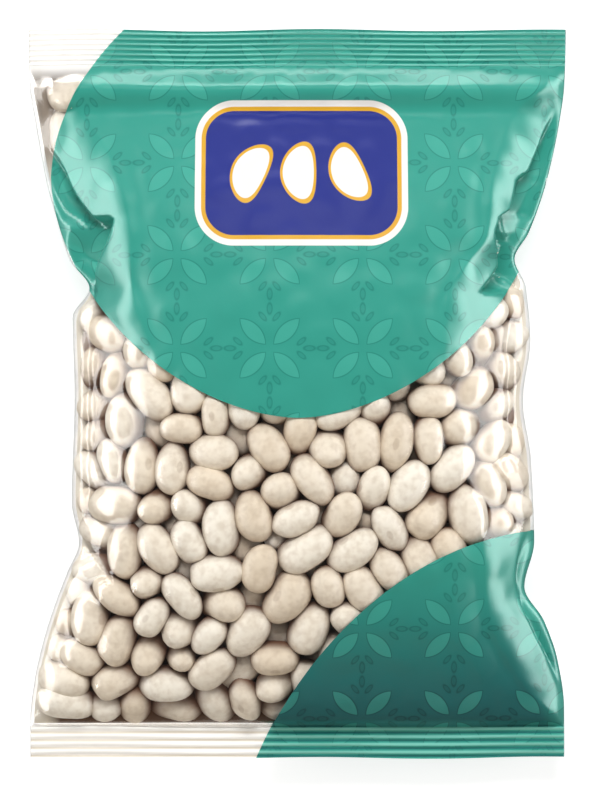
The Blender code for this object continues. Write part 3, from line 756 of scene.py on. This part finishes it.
def drape(wall, packed, sign):
    """How far one face of the film sinks between the beans, as a field over the height map's grid."""
    nearest = np.full(wall.z.shape, -1.0)
    grid_x, grid_y = np.meshgrid(wall.xs, wall.ys, indexing="ij")
    for centre, axis, half_length, half_width in zip(*packed):
        i = np.searchsorted(wall.xs, [centre[0] - half_length, centre[0] + half_length])
        j = np.searchsorted(wall.ys, [centre[1] - half_length, centre[1] + half_length])
        block = (slice(*i), slice(*j))
        dx, dy = grid_x[block] - centre[0], grid_y[block] - centre[1]
        across = 1 / half_width**2
        pull = 1 / half_length**2 - across
        along = dx * axis[0] + dy * axis[1]
        square = across + pull * axis[2] ** 2
        linear = 2 * pull * along * axis[2] * sign
        rest = across * (dx**2 + dy**2) + pull * along**2 - 1
        under_root = linear**2 - 4 * square * rest
        top = (-linear + np.sqrt(np.maximum(under_root, 0))) / (2 * square) + sign * centre[2]
        nearest[block] = np.maximum(nearest[block], np.where(under_root > 0, top, -1))
    gap = np.clip(sign * wall.z - nearest, 0, FILM_DRAPE)
    return blurred(gap, DRAPE_BLUR)


def over_beans(film, beans):
    """How far each point of the film has to rise to lie over the beans: negative where it can sink."""
    corners = [vertex.co for vertex in beans.data.vertices]
    tree = BVHTree.FromPolygons(corners, [polygon.vertices for polygon in beans.data.polygons])
    need = np.full(film.x.shape, -FILM_DRAPE * 2)
    start = film.points + film.normals * CAST_FROM
    for i, j in zip(*np.nonzero(film.pressed > 0)):
        hit = tree.ray_cast(Vector(start[i, j]), Vector(-film.normals[i, j]), 2 * CAST_FROM)
        if hit[3] is not None:
            need[i, j] = CAST_FROM - hit[3] + BEAN_CLEARANCE
    return need


def cut_along(points, normals, faces, groups, value):
    """The faces inside value > 0 and those outside it, each with its points, cut along value = 0."""
    sides = []
    for sign in (1, -1):
        kept, kept_groups = [], []
        extra, extra_normals, made = [], [], {}
        inside = sign * value > 0
        for face, group in zip(faces, groups):
            ins = [inside[i] for i in face]
            if all(ins):
                kept.append(face)
                kept_groups.append(group)
                continue
            if not any(ins):
                continue
            corners = []
            for k, i in enumerate(face):
                j = face[(k + 1) % len(face)]
                if inside[i]:
                    corners.append(i)
                if inside[i] != inside[j]:
                    key = (min(i, j), max(i, j))
                    if key not in made:
                        t = value[key[0]] / (value[key[0]] - value[key[1]])
                        made[key] = len(points) + len(extra)
                        extra.append(points[key[0]] * (1 - t) + points[key[1]] * t)
                        extra_normals.append(normals[key[0]] * (1 - t) + normals[key[1]] * t)
                    corners.append(made[key])
            kept.append(tuple(corners))
            kept_groups.append(group)
        all_points = np.concatenate([points, np.array(extra)])
        all_normals = np.concatenate([normals, np.array(extra_normals)])
        used = np.unique(np.concatenate([np.array(face) for face in kept]))
        place = np.zeros(len(all_points), int)
        place[used] = np.arange(len(used))
        kept = [tuple(place[i] for i in face) for face in kept]
        sides.append((all_points[used], all_normals[used], kept, kept_groups))
    return sides


def film_faces(rows, ring):
    """Quads round the tube and strips that close its cut ends, and for each 0 in front and 1 at the back."""
    faces, groups = [], []
    for row in range(rows - 1):
        for i in range(ring):
            j = (i + 1) % ring
            faces.append((row * ring + i, row * ring + j, (row + 1) * ring + j, (row + 1) * ring + i))
            groups.append(int(i >= ring // 2))
    for start, flip in ((0, False), ((rows - 1) * ring, True)):
        for i in range(ring // 2):
            corners = [start + i, start + (-i) % ring, start + (-i - 1) % ring, start + i + 1]
            corners = list(dict.fromkeys(corners))
            faces.append(tuple(reversed(corners)) if flip else tuple(corners))
            groups.append(0)
    return faces, groups


def make_film(film):
    """The printed and the clear part of the film, as two pieces that meet along the print's edge."""
    rows, ring, _ = film.points.shape
    faces, groups = film_faces(rows, ring)
    points = film.points.reshape(-1, 3)
    normals = facing(film.points).reshape(-1, 3)
    value = in_print(points[:, 0], points[:, 1])
    made = []
    for name, part in zip(("film_print", "film_clear"), cut_along(points, normals, faces, groups, value)):
        piece = add_mesh(name, part[0], part[2])
        piece.data.polygons.foreach_set("material_index", part[3])
        piece.data.normals_split_custom_set_from_vertices(part[1].tolist())
        made.append(piece)
    return made


def gathers(film):
    """The height of the small gathers that run away from the seals."""
    height = 0
    for share, pace, sway, sway_pace, start in GATHERS:
        height = height + share * np.sin(film.x * pace + sway * np.sin(film.x * sway_pace + start))
    return GATHER_HEIGHT * height * np.exp(-film.from_seal / GATHER_REACH)


class Value:
    """A number that a material's nodes work out, and that can stand in a sum as a plain one does."""

    def __init__(self, nodes, socket):
        self.nodes, self.socket = nodes, socket

    def __add__(self, other):
        return self.nodes.math("ADD", self, other)

    def __sub__(self, other):
        return self.nodes.math("SUBTRACT", self, other)

    def __rsub__(self, other):
        return self.nodes.math("SUBTRACT", other, self)

    def __mul__(self, other):
        return self.nodes.math("MULTIPLY", self, other)

    def __truediv__(self, other):
        return self.nodes.math("DIVIDE", self, other)

    def __neg__(self):
        return self * -1.0

    def ramp(self, low, high):
        """0 up to low, 1 from high, and a smooth rise between them."""
        node = self.nodes.add("ShaderNodeMapRange", interpolation_type="SMOOTHSTEP")
        self.nodes.feed(node.inputs["Value"], self)
        node.inputs["From Min"].default_value = low
        node.inputs["From Max"].default_value = high
        return Value(self.nodes, node.outputs["Result"])


class Nodes:
    """A short way to write a material's nodes."""

    def __init__(self, name):
        self.material = bpy.data.materials.new(name)
        self.material.use_nodes = True
        self.tree = self.material.node_tree
        self.tree.nodes.clear()
        self.output = self.add("ShaderNodeOutputMaterial")

    def add(self, kind, **settings):
        """A new node of this kind."""
        node = self.tree.nodes.new(kind)
        for key, value in settings.items():
            setattr(node, key, value)
        return node

    def feed(self, socket, value):
        """Gives a node's input a plain value, or what another node works out."""
        if isinstance(value, Value):
            value = value.socket
        if isinstance(value, bpy.types.NodeSocket):
            self.tree.links.new(value, socket)
        else:
            socket.default_value = value

    def math(self, operation, *values):
        node = self.add("ShaderNodeMath", operation=operation)
        for socket, value in zip(node.inputs, values):
            self.feed(socket, value)
        return Value(self, node.outputs[0])

    def larger(self, first, second):
        return self.math("MAXIMUM", first, second)

    def smaller(self, first, second):
        return self.math("MINIMUM", first, second)

    def distance(self, dx, dy):
        return self.math("SQRT", dx * dx + dy * dy)

    def mix(self, share, first, second):
        """The first colour where the share is 0, the second where it is 1."""
        node = self.add("ShaderNodeMix", data_type="RGBA")
        self.feed(node.inputs["Factor"], share)
        self.feed(node.inputs["A"], first)
        self.feed(node.inputs["B"], second)
        return node.outputs["Result"]

    def attribute(self, name, output="Fac"):
        return Value(self, self.add("ShaderNodeAttribute", attribute_name=name).outputs[output])

    def split(self, vector):
        """The x, y and z of a vector."""
        node = self.add("ShaderNodeSeparateXYZ")
        self.feed(node.inputs[0], vector)
        return [Value(self, node.outputs[axis]) for axis in "XYZ"]

    def place(self):
        """Where a point of the object is, in metres: the whole vector, its x and its y."""
        vector = self.add("ShaderNodeTexCoord").outputs["Object"]
        x, y, _ = self.split(vector)
        return vector, x, y

    def noise(self, vector, scale, detail):
        node = self.add("ShaderNodeTexNoise")
        self.feed(node.inputs["Vector"], vector)
        node.inputs["Scale"].default_value = scale
        node.inputs["Detail"].default_value = detail
        return Value(self, node.outputs["Fac"])

    def shader(self, colour, roughness, specular=0.5):
        """A principled shader."""
        shader = self.add("ShaderNodeBsdfPrincipled")
        self.feed(shader.inputs["Base Color"], colour)
        shader.inputs["Roughness"].default_value = roughness
        shader.inputs["Specular IOR Level"].default_value = specular
        return shader

    def roughen(self, shader, vector, scale, strength, depth):
        """Gives a shader small bumps of this depth, and this many to a metre."""
        bump = self.add("ShaderNodeBump")
        bump.inputs["Strength"].default_value = strength
        bump.inputs["Distance"].default_value = depth
        self.feed(bump.inputs["Height"], self.noise(vector, scale, BUMP_DETAIL))
        self.feed(shader.inputs["Normal"], bump.outputs["Normal"])

    def finish(self, shader):
        """The material, with this shader as its surface."""
        self.feed(self.output.inputs["Surface"], shader.outputs[0])
        return self.material


def srgb(red, green, blue):
    """A colour in the linear values that Blender uses, from values of 0 to 255 as a picture has them."""
    shares = [value / 255 for value in (red, green, blue)]
    return tuple(c / 12.92 if c <= 0.04045 else ((c + 0.055) / 1.055) ** 2.4 for c in shares) + (1.0,)


# The print: a tone-on-tone four-petal pattern on a square grid, and a plain badge, with painted shade towards
# the lower corner
TEAL = srgb(54, 158, 141)
TEAL_PETAL = srgb(66, 170, 152)
TEAL_LINE = srgb(30, 126, 114)
TEAL_PAINTED_SHADE = srgb(29, 99, 100)  # painted shade of the lower corner, towards its seal, and of the seals' rib grooves
TEAL_PAINTED_SHADE_PETAL = srgb(48, 134, 126)
TEAL_PAINTED_SHADE_LINE = srgb(14, 62, 64)
# painted highlight on the ribs' crests
TEAL_PAINTED_HIGHLIGHT = srgb(128, 206, 190)
CORNER_SHADE_FROM = (0.040, 0.100)  # how far below the middle the painted shade starts and is full
CORNER_SHADE_TO = (-0.034, -0.024)  # how far left of the middle the right edge's bright band ends, and the painted shade is full
CORNER_SHADE_LEAN = -0.5  # how far across that line moves for each metre up
CORNER_SHADE_BESIDE = 0.2  # how much painted shade the band itself has
CORNER_SHADE_END = 0.0004  # over which the painted shade ends at the seal
PATTERN_STEPS = (0.0281, 0.0284)  # across and up
PATTERN_ORIGIN = (-0.0084, 0.0141)
PETAL_MIDDLE = 0.0072  # from the motif's centre, along a diagonal
PETAL_HALF_LENGTH = 0.0054
PETAL_HALF_WIDTH = 0.0022
SEED = ((0.0120, 0.0), (0.0015, 0.0007), 0.0)  # between the petals: its middle, half sizes and turn
SLANTED_SEED = ((0.0096, 0.0021), (0.0014, 0.0006), 0.7)  # on both sides of that
SEED_WIDTH = 0.0007
SEED_PALER = 0.5  # how much paler a seed is inside its line
LINE_WIDTH = 0.0004
LINE_SHARE = 0.75  # how strongly the lines show
BADGE_CENTRE = (0.0012, 0.0677)
BADGE_HALF_SIZE = (0.0325, 0.0226)
BADGE_CORNER = 0.0120
BADGE_WHITE = srgb(248, 245, 238)
BADGE_GOLD = srgb(226, 172, 48)
BADGE_BLUE = srgb(35, 47, 134)
BADGE_RINGS = (  # how far inside the badge's edge each colour starts and is full
    (0.0, 0.0002, BADGE_WHITE),
    (0.0019, 0.0021, BADGE_GOLD),
    (0.0032, 0.0034, BADGE_BLUE),
)
BADGE_BEANS = ((-0.0150, 1.15), (0.0, 1.57), (0.0150, 1.99))  # how far right each is, and its turn
BADGE_BEAN_HALF_SIZE = (0.0098, 0.0056)
BADGE_BEAN_BEND = 0.35
BADGE_BEAN_RINGS = ((0.0, 0.03, BADGE_GOLD), (0.14, 0.17, BADGE_WHITE))  # the same, as shares of its size

# Painted shade in the seals' rib grooves and painted highlight on their crests, the top's less than the
# bottom's
TOP_RIB_SHARE = 0.6
RIBS_FROM = (0.0, 0.02)  # the share of the seal's length where they start and are full
GROOVE_SHADE_FROM = (0.3, 1.0)  # how deep in a rib's wave a groove's painted shade starts and is full
CREST_HIGHLIGHT_FROM = (0.0, 0.8)
GROOVE_SHADE_SHARE = 0.8
CREST_HIGHLIGHT_SHARE = 0.95

# The materials' other values
PRINT_ROUGHNESS = 0.3
PRINT_BUMPS = (160.0, 0.12, 0.0004)  # how many to a metre, how strong and how deep
BUMP_DETAIL = 3.0
FILM_ROUGHNESS = 0.16
FILM_SPECULAR = 0.9
FILM_INDEX = 1.5  # of refraction
GLOSS_GAIN = 0.9
LEAST_GLOSS = 0.004
MOST_GLOSS = 0.3  # of the clear film, where it is steep
SEAL_MILKY = 0.86
SEAL_COLOUR = srgb(255, 253, 249)
# painted shade in the clear seals' rib grooves
SEAL_GROOVE_SHADE = srgb(228, 216, 196)
MILKY_BELOW_TOP = 0.0080  # how far from the top seal the film starts to turn milky: a painted highlight for the glare off the steep film below the seal
MILKY_ABOVE_BOTTOM = 0.0015
BEAN_PALE = srgb(248, 242, 229)
BEAN_TAN = srgb(232, 218, 197)
BEAN_MOTTLE = srgb(178, 154, 124)
MOTTLE_PACE = (420.0, 4.0)  # how many patches to a metre, and their detail
MOTTLE_FROM = (0.35, 0.75)
MOTTLE_SHARE = 0.32
BEAN_SPOT = srgb(150, 122, 92)  # of the small dent
SPOT_SIZE = (0.24, 0.2)
SPOT_FROM = (0.0, 0.3)
SPOT_SIDE = (0.3, 0.5)
SPOT_SHARE = 0.25
# painted shade on a bean's side away from the film and on beans deep in the pack
BEAN_PAINTED_SHADE = srgb(98, 56, 32)
BEAN_ROUGHNESS = 0.5
BEAN_SPECULAR = 0.3
BEAN_BUMPS = (900.0, 0.15, 0.0002)
# the core's painted light beside the side edges, and its painted shade
CORE_PAINTED_LIGHT = srgb(240, 232, 216)
CORE_PAINTED_SHADE = srgb(84, 56, 32)
DEEP_ROUGHNESS = 0.9


def oval(nodes, x, y, centre, half_size, turn, bend=0.0):
    """Above 0 inside an oval of the print, which bends as a bean does."""
    dx, dy = x - centre[0], y - centre[1]
    cos, sin = math.cos(turn), math.sin(turn)
    along = (dx * cos + dy * sin) / half_size[0]
    aside = (dy * cos - dx * sin) / half_size[1]
    if bend:
        aside = along * along * bend + aside - bend / 2
    return 1.0 - nodes.distance(along, aside)


def rib_shade_and_highlight(nodes, y):
    """Painted shade in the grooves and painted highlight on the crests of both seals' ribs, each as a mask.
    """
    waves = []
    for start, length, count in ((BODY_HIGH, TOP_SEAL, TOP_RIBS), (BODY_LOW, -BOTTOM_SEAL, BOTTOM_RIBS)):
        along = (y - start) / length
        waves.append(nodes.math("SINE", along * (2 * math.pi * count)) * along.ramp(*RIBS_FROM))
    wave = waves[0] * TOP_RIB_SHARE + waves[1]
    return (-wave).ramp(*GROOVE_SHADE_FROM), wave.ramp(*CREST_HIGHLIGHT_FROM)


def petal_pattern(nodes, x, y, low):
    """The teal with its petals and seeds, with painted shade where low is 1."""
    x = nodes.math("PINGPONG", x - PATTERN_ORIGIN[0], PATTERN_STEPS[0] / 2)
    y = nodes.math("PINGPONG", y - PATTERN_ORIGIN[1], PATTERN_STEPS[1] / 2)
    diagonal = math.sqrt(0.5)
    along = (x + y) * diagonal - PETAL_MIDDLE
    aside = nodes.math("ABSOLUTE", x - y) * diagonal
    arc = (PETAL_HALF_LENGTH**2 + PETAL_HALF_WIDTH**2) / (2 * PETAL_HALF_WIDTH)
    edge = nodes.math("SQRT", nodes.larger(arc**2 - along * along, 0.0))
    petal = edge - aside - (arc - PETAL_HALF_WIDTH)
    near, off = nodes.larger(x, y), nodes.smaller(x, y)
    seeds = nodes.larger(oval(nodes, near, off, *SEED), oval(nodes, near, off, *SLANTED_SEED)) * SEED_WIDTH
    line = nodes.larger(petal, seeds).ramp(-LINE_WIDTH, 0.0) * LINE_SHARE
    line = line - seeds.ramp(0.0, LINE_WIDTH / 2) * SEED_PALER
    lined = nodes.mix(line, nodes.mix(low, TEAL, TEAL_PAINTED_SHADE), nodes.mix(low, TEAL_LINE, TEAL_PAINTED_SHADE_LINE))
    fill = nodes.mix(low, TEAL_PETAL, TEAL_PAINTED_SHADE_PETAL)
    return nodes.mix(petal.ramp(0.0, LINE_WIDTH / 2), lined, fill)


def badge(nodes, x, y, colour):
    """A round-cornered plate in white, gold and blue, with three plain beans on it."""
    past_corner = []
    for at, middle, half_size in zip((x, y), BADGE_CENTRE, BADGE_HALF_SIZE):
        away = nodes.math("ABSOLUTE", at - middle)
        past_corner.append(nodes.larger(away - (half_size - BADGE_CORNER), 0.0))
    inset = BADGE_CORNER - nodes.distance(*past_corner)
    for start, full, paint in BADGE_RINGS:
        colour = nodes.mix(inset.ramp(start, full), colour, paint)
    for offset, turn in BADGE_BEANS:
        centre = (BADGE_CENTRE[0] + offset, BADGE_CENTRE[1])
        shape = oval(nodes, x, y, centre, BADGE_BEAN_HALF_SIZE, turn, BADGE_BEAN_BEND)
        for start, full, paint in BADGE_BEAN_RINGS:
            colour = nodes.mix(shape.ramp(start, full), colour, paint)
    return colour


def printed_film(name, with_badge):
    """Glossy teal film with its pattern, with painted shade towards the lower corner's seal, and painted
    shade and highlight on the seals' ribs.
    """
    nodes = Nodes(name)
    vector, x, y = nodes.place()
    # low: painted shade towards the lower corner's seal, weaker under the right edge's bright band
    above_seal = y.ramp(BODY_LOW - CORNER_SHADE_END, BODY_LOW + CORNER_SHADE_END)
    inner = (y * CORNER_SHADE_LEAN - x).ramp(*CORNER_SHADE_TO)
    low = (-y).ramp(*CORNER_SHADE_FROM) * above_seal * (inner * (1 - CORNER_SHADE_BESIDE) + CORNER_SHADE_BESIDE)
    colour = petal_pattern(nodes, x, y, low)
    groove_shade, crest_highlight = rib_shade_and_highlight(nodes, y)
    # painted shade in the ribs' grooves and painted highlight on their crests
    colour = nodes.mix(groove_shade * GROOVE_SHADE_SHARE, colour, TEAL_PAINTED_SHADE)
    colour = nodes.mix(crest_highlight * CREST_HIGHLIGHT_SHARE, colour, TEAL_PAINTED_HIGHLIGHT)
    if with_badge:
        colour = badge(nodes, x, y, colour)
    shader = nodes.shader(colour, PRINT_ROUGHNESS)
    nodes.roughen(shader, vector, *PRINT_BUMPS)
    return nodes.finish(shader)


def clear_film():
    """Clear film: a gloss over what is inside, milky where it is sealed, a painted highlight as milky white
    just below the top seal, and painted shade in the ribs' grooves.
    """
    nodes = Nodes("clear_film")
    _, _, y = nodes.place()
    # milky where sealed, and a painted highlight fading out below the top seal
    top = y.ramp(BODY_HIGH - MILKY_BELOW_TOP, BODY_HIGH)
    milky_share = nodes.larger(top, (-y).ramp(-BODY_LOW - MILKY_ABOVE_BOTTOM, -BODY_LOW))
    groove_shade, _ = rib_shade_and_highlight(nodes, y)
    # painted shade in the ribs' grooves
    colour = nodes.mix(groove_shade * GROOVE_SHADE_SHARE, SEAL_COLOUR, SEAL_GROOVE_SHADE)
    shader = nodes.shader(colour, FILM_ROUGHNESS, FILM_SPECULAR)
    nodes.feed(shader.inputs["Metallic"], 1.0 - milky_share)
    fresnel = nodes.add("ShaderNodeFresnel")
    fresnel.inputs["IOR"].default_value = FILM_INDEX
    gloss = nodes.smaller(Value(nodes, fresnel.outputs[0]) * GLOSS_GAIN + LEAST_GLOSS, MOST_GLOSS)
    seen = nodes.smaller(nodes.larger(gloss, milky_share * SEAL_MILKY), 1.0)
    glass = nodes.add("ShaderNodeBsdfTransparent")
    mixed = nodes.add("ShaderNodeMixShader")
    for socket, value in zip(mixed.inputs, (seen, glass.outputs[0], shader.outputs[0])):
        nodes.feed(socket, value)
    return nodes.finish(mixed)


def seed_coat():
    """A white bean's smooth dry skin, each bean its own tint, with painted shade where little light reaches.
    """
    nodes = Nodes("bean_skin")
    vector, _, _ = nodes.place()
    along, across, through = nodes.split(nodes.attribute("bean_at", "Vector"))
    colour = nodes.mix(nodes.attribute("bean_tint"), BEAN_PALE, BEAN_TAN)
    mottle = nodes.noise(vector, *MOTTLE_PACE).ramp(*MOTTLE_FROM)
    colour = nodes.mix(mottle * MOTTLE_SHARE, colour, BEAN_MOTTLE)
    spot = oval(nodes, along, through, (0.0, 0.0), SPOT_SIZE, 0.0)
    spot = spot.ramp(*SPOT_FROM) * across.ramp(*SPOT_SIDE)
    colour = nodes.mix(spot * SPOT_SHARE, colour, BEAN_SPOT)
    # painted shade on the bean's far side and on beans deep in the pack
    colour = nodes.mix(nodes.attribute("bean_painted_shade"), colour, BEAN_PAINTED_SHADE)
    shader = nodes.shader(colour, BEAN_ROUGHNESS, BEAN_SPECULAR)
    nodes.roughen(shader, vector, *BEAN_BUMPS)
    return nodes.finish(shader)


def deep_beans_painted_shade():
    """The mass of beans behind the modelled ones: painted shade, all but dark, and painted light, pale beside
    the pack's side edges.
    """
    nodes = Nodes("deep_beans_painted_shade")
    colour = nodes.mix(nodes.attribute("core_painted_shade"), CORE_PAINTED_LIGHT, CORE_PAINTED_SHADE)
    return nodes.finish(nodes.shader(colour, DEEP_ROUGHNESS))


def make_core(front, back):
    """The mass of beans behind those that can be seen, a sheet dark with painted shade: a smaller pillow that
    ends in a thin rim.
    """
    rows, columns = CORE_ROWS, CORE_COLUMNS
    heights = np.linspace(BODY_LOW + CORE_RIM, BODY_HIGH - CORE_RIM, rows)
    y, s = np.meshgrid(heights, np.linspace(-1, 1, columns), indexing="ij")
    x = s * (by_side(s, LEFT_EDGE, RIGHT_EDGE, y) - CORE_RIM)
    near = [(i * CORE_REACH, j * CORE_REACH) for i in (-1, 0, 1) for j in (-1, 0, 1)]
    top = np.min([front.height(x + dx, y + dy) for dx, dy in near], axis=0)
    bottom = np.max([back.height(x + dx, y + dy) for dx, dy in near], axis=0)
    middle, half = (top + bottom) / 2, (top - bottom) / 2
    half = np.maximum(half - CORE_INSET, CORE_THIN)
    layers = [np.stack([x, y, middle + sign * half], axis=-1).reshape(-1, 3) for sign in (1, -1)]
    size = rows * columns
    faces = []
    for row in range(rows - 1):
        for column in range(columns - 1):
            i = row * columns + column
            faces.append((i, i + 1, i + columns + 1, i + columns))
            faces.append((size + i, size + i + columns, size + i + columns + 1, size + i + 1))
    rim = list(range(columns))
    rim += [row * columns + columns - 1 for row in range(1, rows)]
    rim += [(rows - 1) * columns + column for column in range(columns - 2, -1, -1)]
    rim += [row * columns for row in range(rows - 2, 0, -1)]
    for k, i in enumerate(rim):
        j = rim[(k + 1) % len(rim)]
        faces.append((i, size + i, size + j, j))
    core = add_mesh("painted_shade_core", np.concatenate(layers), faces)
    # painted light near the side edges, painted shade inward and at the top
    inward = (1 - np.abs(s)) * np.abs(x[:, [0, -1]]).mean(1, keepdims=True)
    painted_shade = np.maximum(ramp(inward, *CORE_PAINTED_LIGHT_EDGE), CORE_TOP_SHARE * ramp(y, *CORE_PAINTED_SHADE_TOP))
    put_attribute(core.data, "core_painted_shade", "FLOAT", np.tile(painted_shade.ravel(), 2))
    return core


# The studio
SIDE_LIGHTS = (  # bearing and elevation in degrees, distance, size, radiance, and what it lights
    ("side_gloss", 80, 16, 0.62, (1.15, 0.29), 9.0, "gloss"),
    ("side_gloss_high", 80, 33, 0.62, (0.8, 0.12), 1.8, "gloss"),
    ("side_fill", 90, 35, 0.8, (0.4, 0.4), 2.8, "rest"),
)
MIDDLE_LIGHTS = (
    ("top_gloss", 0, 7, 0.72, (0.8, 0.2), 8.0, "gloss"),
    ("low_fill", 180, 28, 0.8, (0.5, 0.3), 1.9, "rest"),
    ("key", 0, 54, 1.1, (0.6, 0.35), 14.0, "rest"),
)
LIGHT_COLOURS = {"low_fill": (1.0, 0.84, 0.66)}  # the others are white
LIT_POINT = (0, 0, 0.02)  # inside the pack
FLOOR_HALF_SIZE = 3
FLOOR_GREY = 0.5
FLOOR_ROUGHNESS = 0.9
FLOOR_GLOW = 0.72
WORLD_GLOW = 0.14
LENS = 200
SENSOR = 36
FAR_END = 10  # of what the camera sees
SEEN_HEIGHT = 0.2436  # of the picture, at the level that the camera is set for
SEEN_LEVEL = 0.016


def soft_light(name, bearing, elevation, distance, size, radiance, lights):
    """A softbox that faces the pack, at a bearing from its top. Gloss mirrors it, or it lights the rest."""
    turn, rise = math.radians(bearing), math.radians(elevation)
    flat = distance * math.cos(rise)
    place = (flat * math.sin(turn), flat * math.cos(turn), distance * math.sin(rise) + LIT_POINT[2])
    light = bpy.data.lights.new(name, "AREA")
    light.color = LIGHT_COLOURS.get(name, (1, 1, 1))
    light.shape = "RECTANGLE"
    light.size, light.size_y = size
    light.energy = radiance * math.pi * size[0] * size[1]
    lamp = add_object(name, light)
    lamp.location = place
    lamp.rotation_mode = "QUATERNION"
    lamp.rotation_quaternion = (Vector(LIT_POINT) - Vector(place)).to_track_quat("-Z", "Y")
    lamp.visible_glossy = lights == "gloss"
    lamp.visible_diffuse = lights == "rest"


def make_floor():
    """A pale floor that glows, and that gloss doesn't mirror."""
    half = FLOOR_HALF_SIZE
    corners = [(-half, -half, 0), (half, -half, 0), (half, half, 0), (-half, half, 0)]
    floor = add_mesh("floor", corners, [(0, 1, 2, 3)])
    nodes = Nodes("floor")
    shader = nodes.shader((FLOOR_GREY, FLOOR_GREY, FLOOR_GREY, 1), FLOOR_ROUGHNESS)
    shader.inputs["Emission Color"].default_value = (1, 1, 1, 1)
    shader.inputs["Emission Strength"].default_value = FLOOR_GLOW
    floor.data.materials.append(nodes.finish(shader))
    floor.visible_glossy = False


def make_studio():
    """The floor, the faint light from all round, the softboxes and the camera."""
    scene = bpy.context.scene
    scene.view_settings.view_transform = "Standard"
    make_floor()
    scene.world = bpy.data.worlds.new("studio")
    scene.world.use_nodes = True
    background = scene.world.node_tree.nodes["Background"]
    background.inputs["Color"].default_value = (1, 1, 1, 1)
    background.inputs["Strength"].default_value = WORLD_GLOW
    for side in (-1, 1):
        for name, bearing, *others in SIDE_LIGHTS:
            soft_light(name, bearing * side, *others)
    for light in MIDDLE_LIGHTS:
        soft_light(*light)
    camera = add_object("camera", bpy.data.cameras.new("camera"))
    camera.data.sensor_width = SENSOR
    camera.data.lens = LENS
    camera.data.clip_end = FAR_END
    camera.location = (0, 0, SEEN_LEVEL + SEEN_HEIGHT * LENS / SENSOR)
    scene.camera = camera


def settle_film(film, front, back, packed, beans):
    """Lets the film sink between the beans and rise over them, with its gathers and its lap seam."""
    share = PRINTED_DRAPE + (1 - PRINTED_DRAPE) * ramp(-in_print(film.x, film.y), *PRINT_FADE)
    sunk_front = front.read(drape(front, packed, 1), film.x, film.y)
    sunk_back = back.read(drape(back, packed, -1), film.x, film.y)
    sunk = np.where(film.front, sunk_front, sunk_back * BACK_SHARE) * share * film.pressed
    lap = 1 - ramp(np.abs(film.x), LAP_WIDTH / 2 - LAP_EDGE / 2, LAP_WIDTH / 2 + LAP_EDGE / 2)
    relief = gathers(film) - sunk + np.where(film.front, 0.0, LAP_RELIEF * lap)
    film.raise_by(np.maximum(relief, over_beans(film, beans)))


def main():
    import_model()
    film = Film()
    front, back = HeightMap(film, True), HeightMap(film, False)
    packed = pack_beans(front, back)
    beans = make_beans(front, back, packed)
    core = make_core(front, back)
    settle_film(film, front, back, packed, beans)
    film_print, film_clear = make_film(film)
    clear = clear_film()
    pieces = (  # with their slots, and their materials for the front and the back
        (film_print, "printed_film", (printed_film("print_front", True), printed_film("print_back", False))),
        (film_clear, "clear_film", (clear, clear)),
        (beans, "beans", (seed_coat(),)),
        (core, "beans", (deep_beans_painted_shade(),)),
    )
    film_clear.visible_shadow = False
    for piece, slot, materials in pieces:
        for material in materials:
            piece.data.materials.append(material)
        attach(piece, "root")
        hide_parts("bean_pack")
    make_studio()
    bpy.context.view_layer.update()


main()
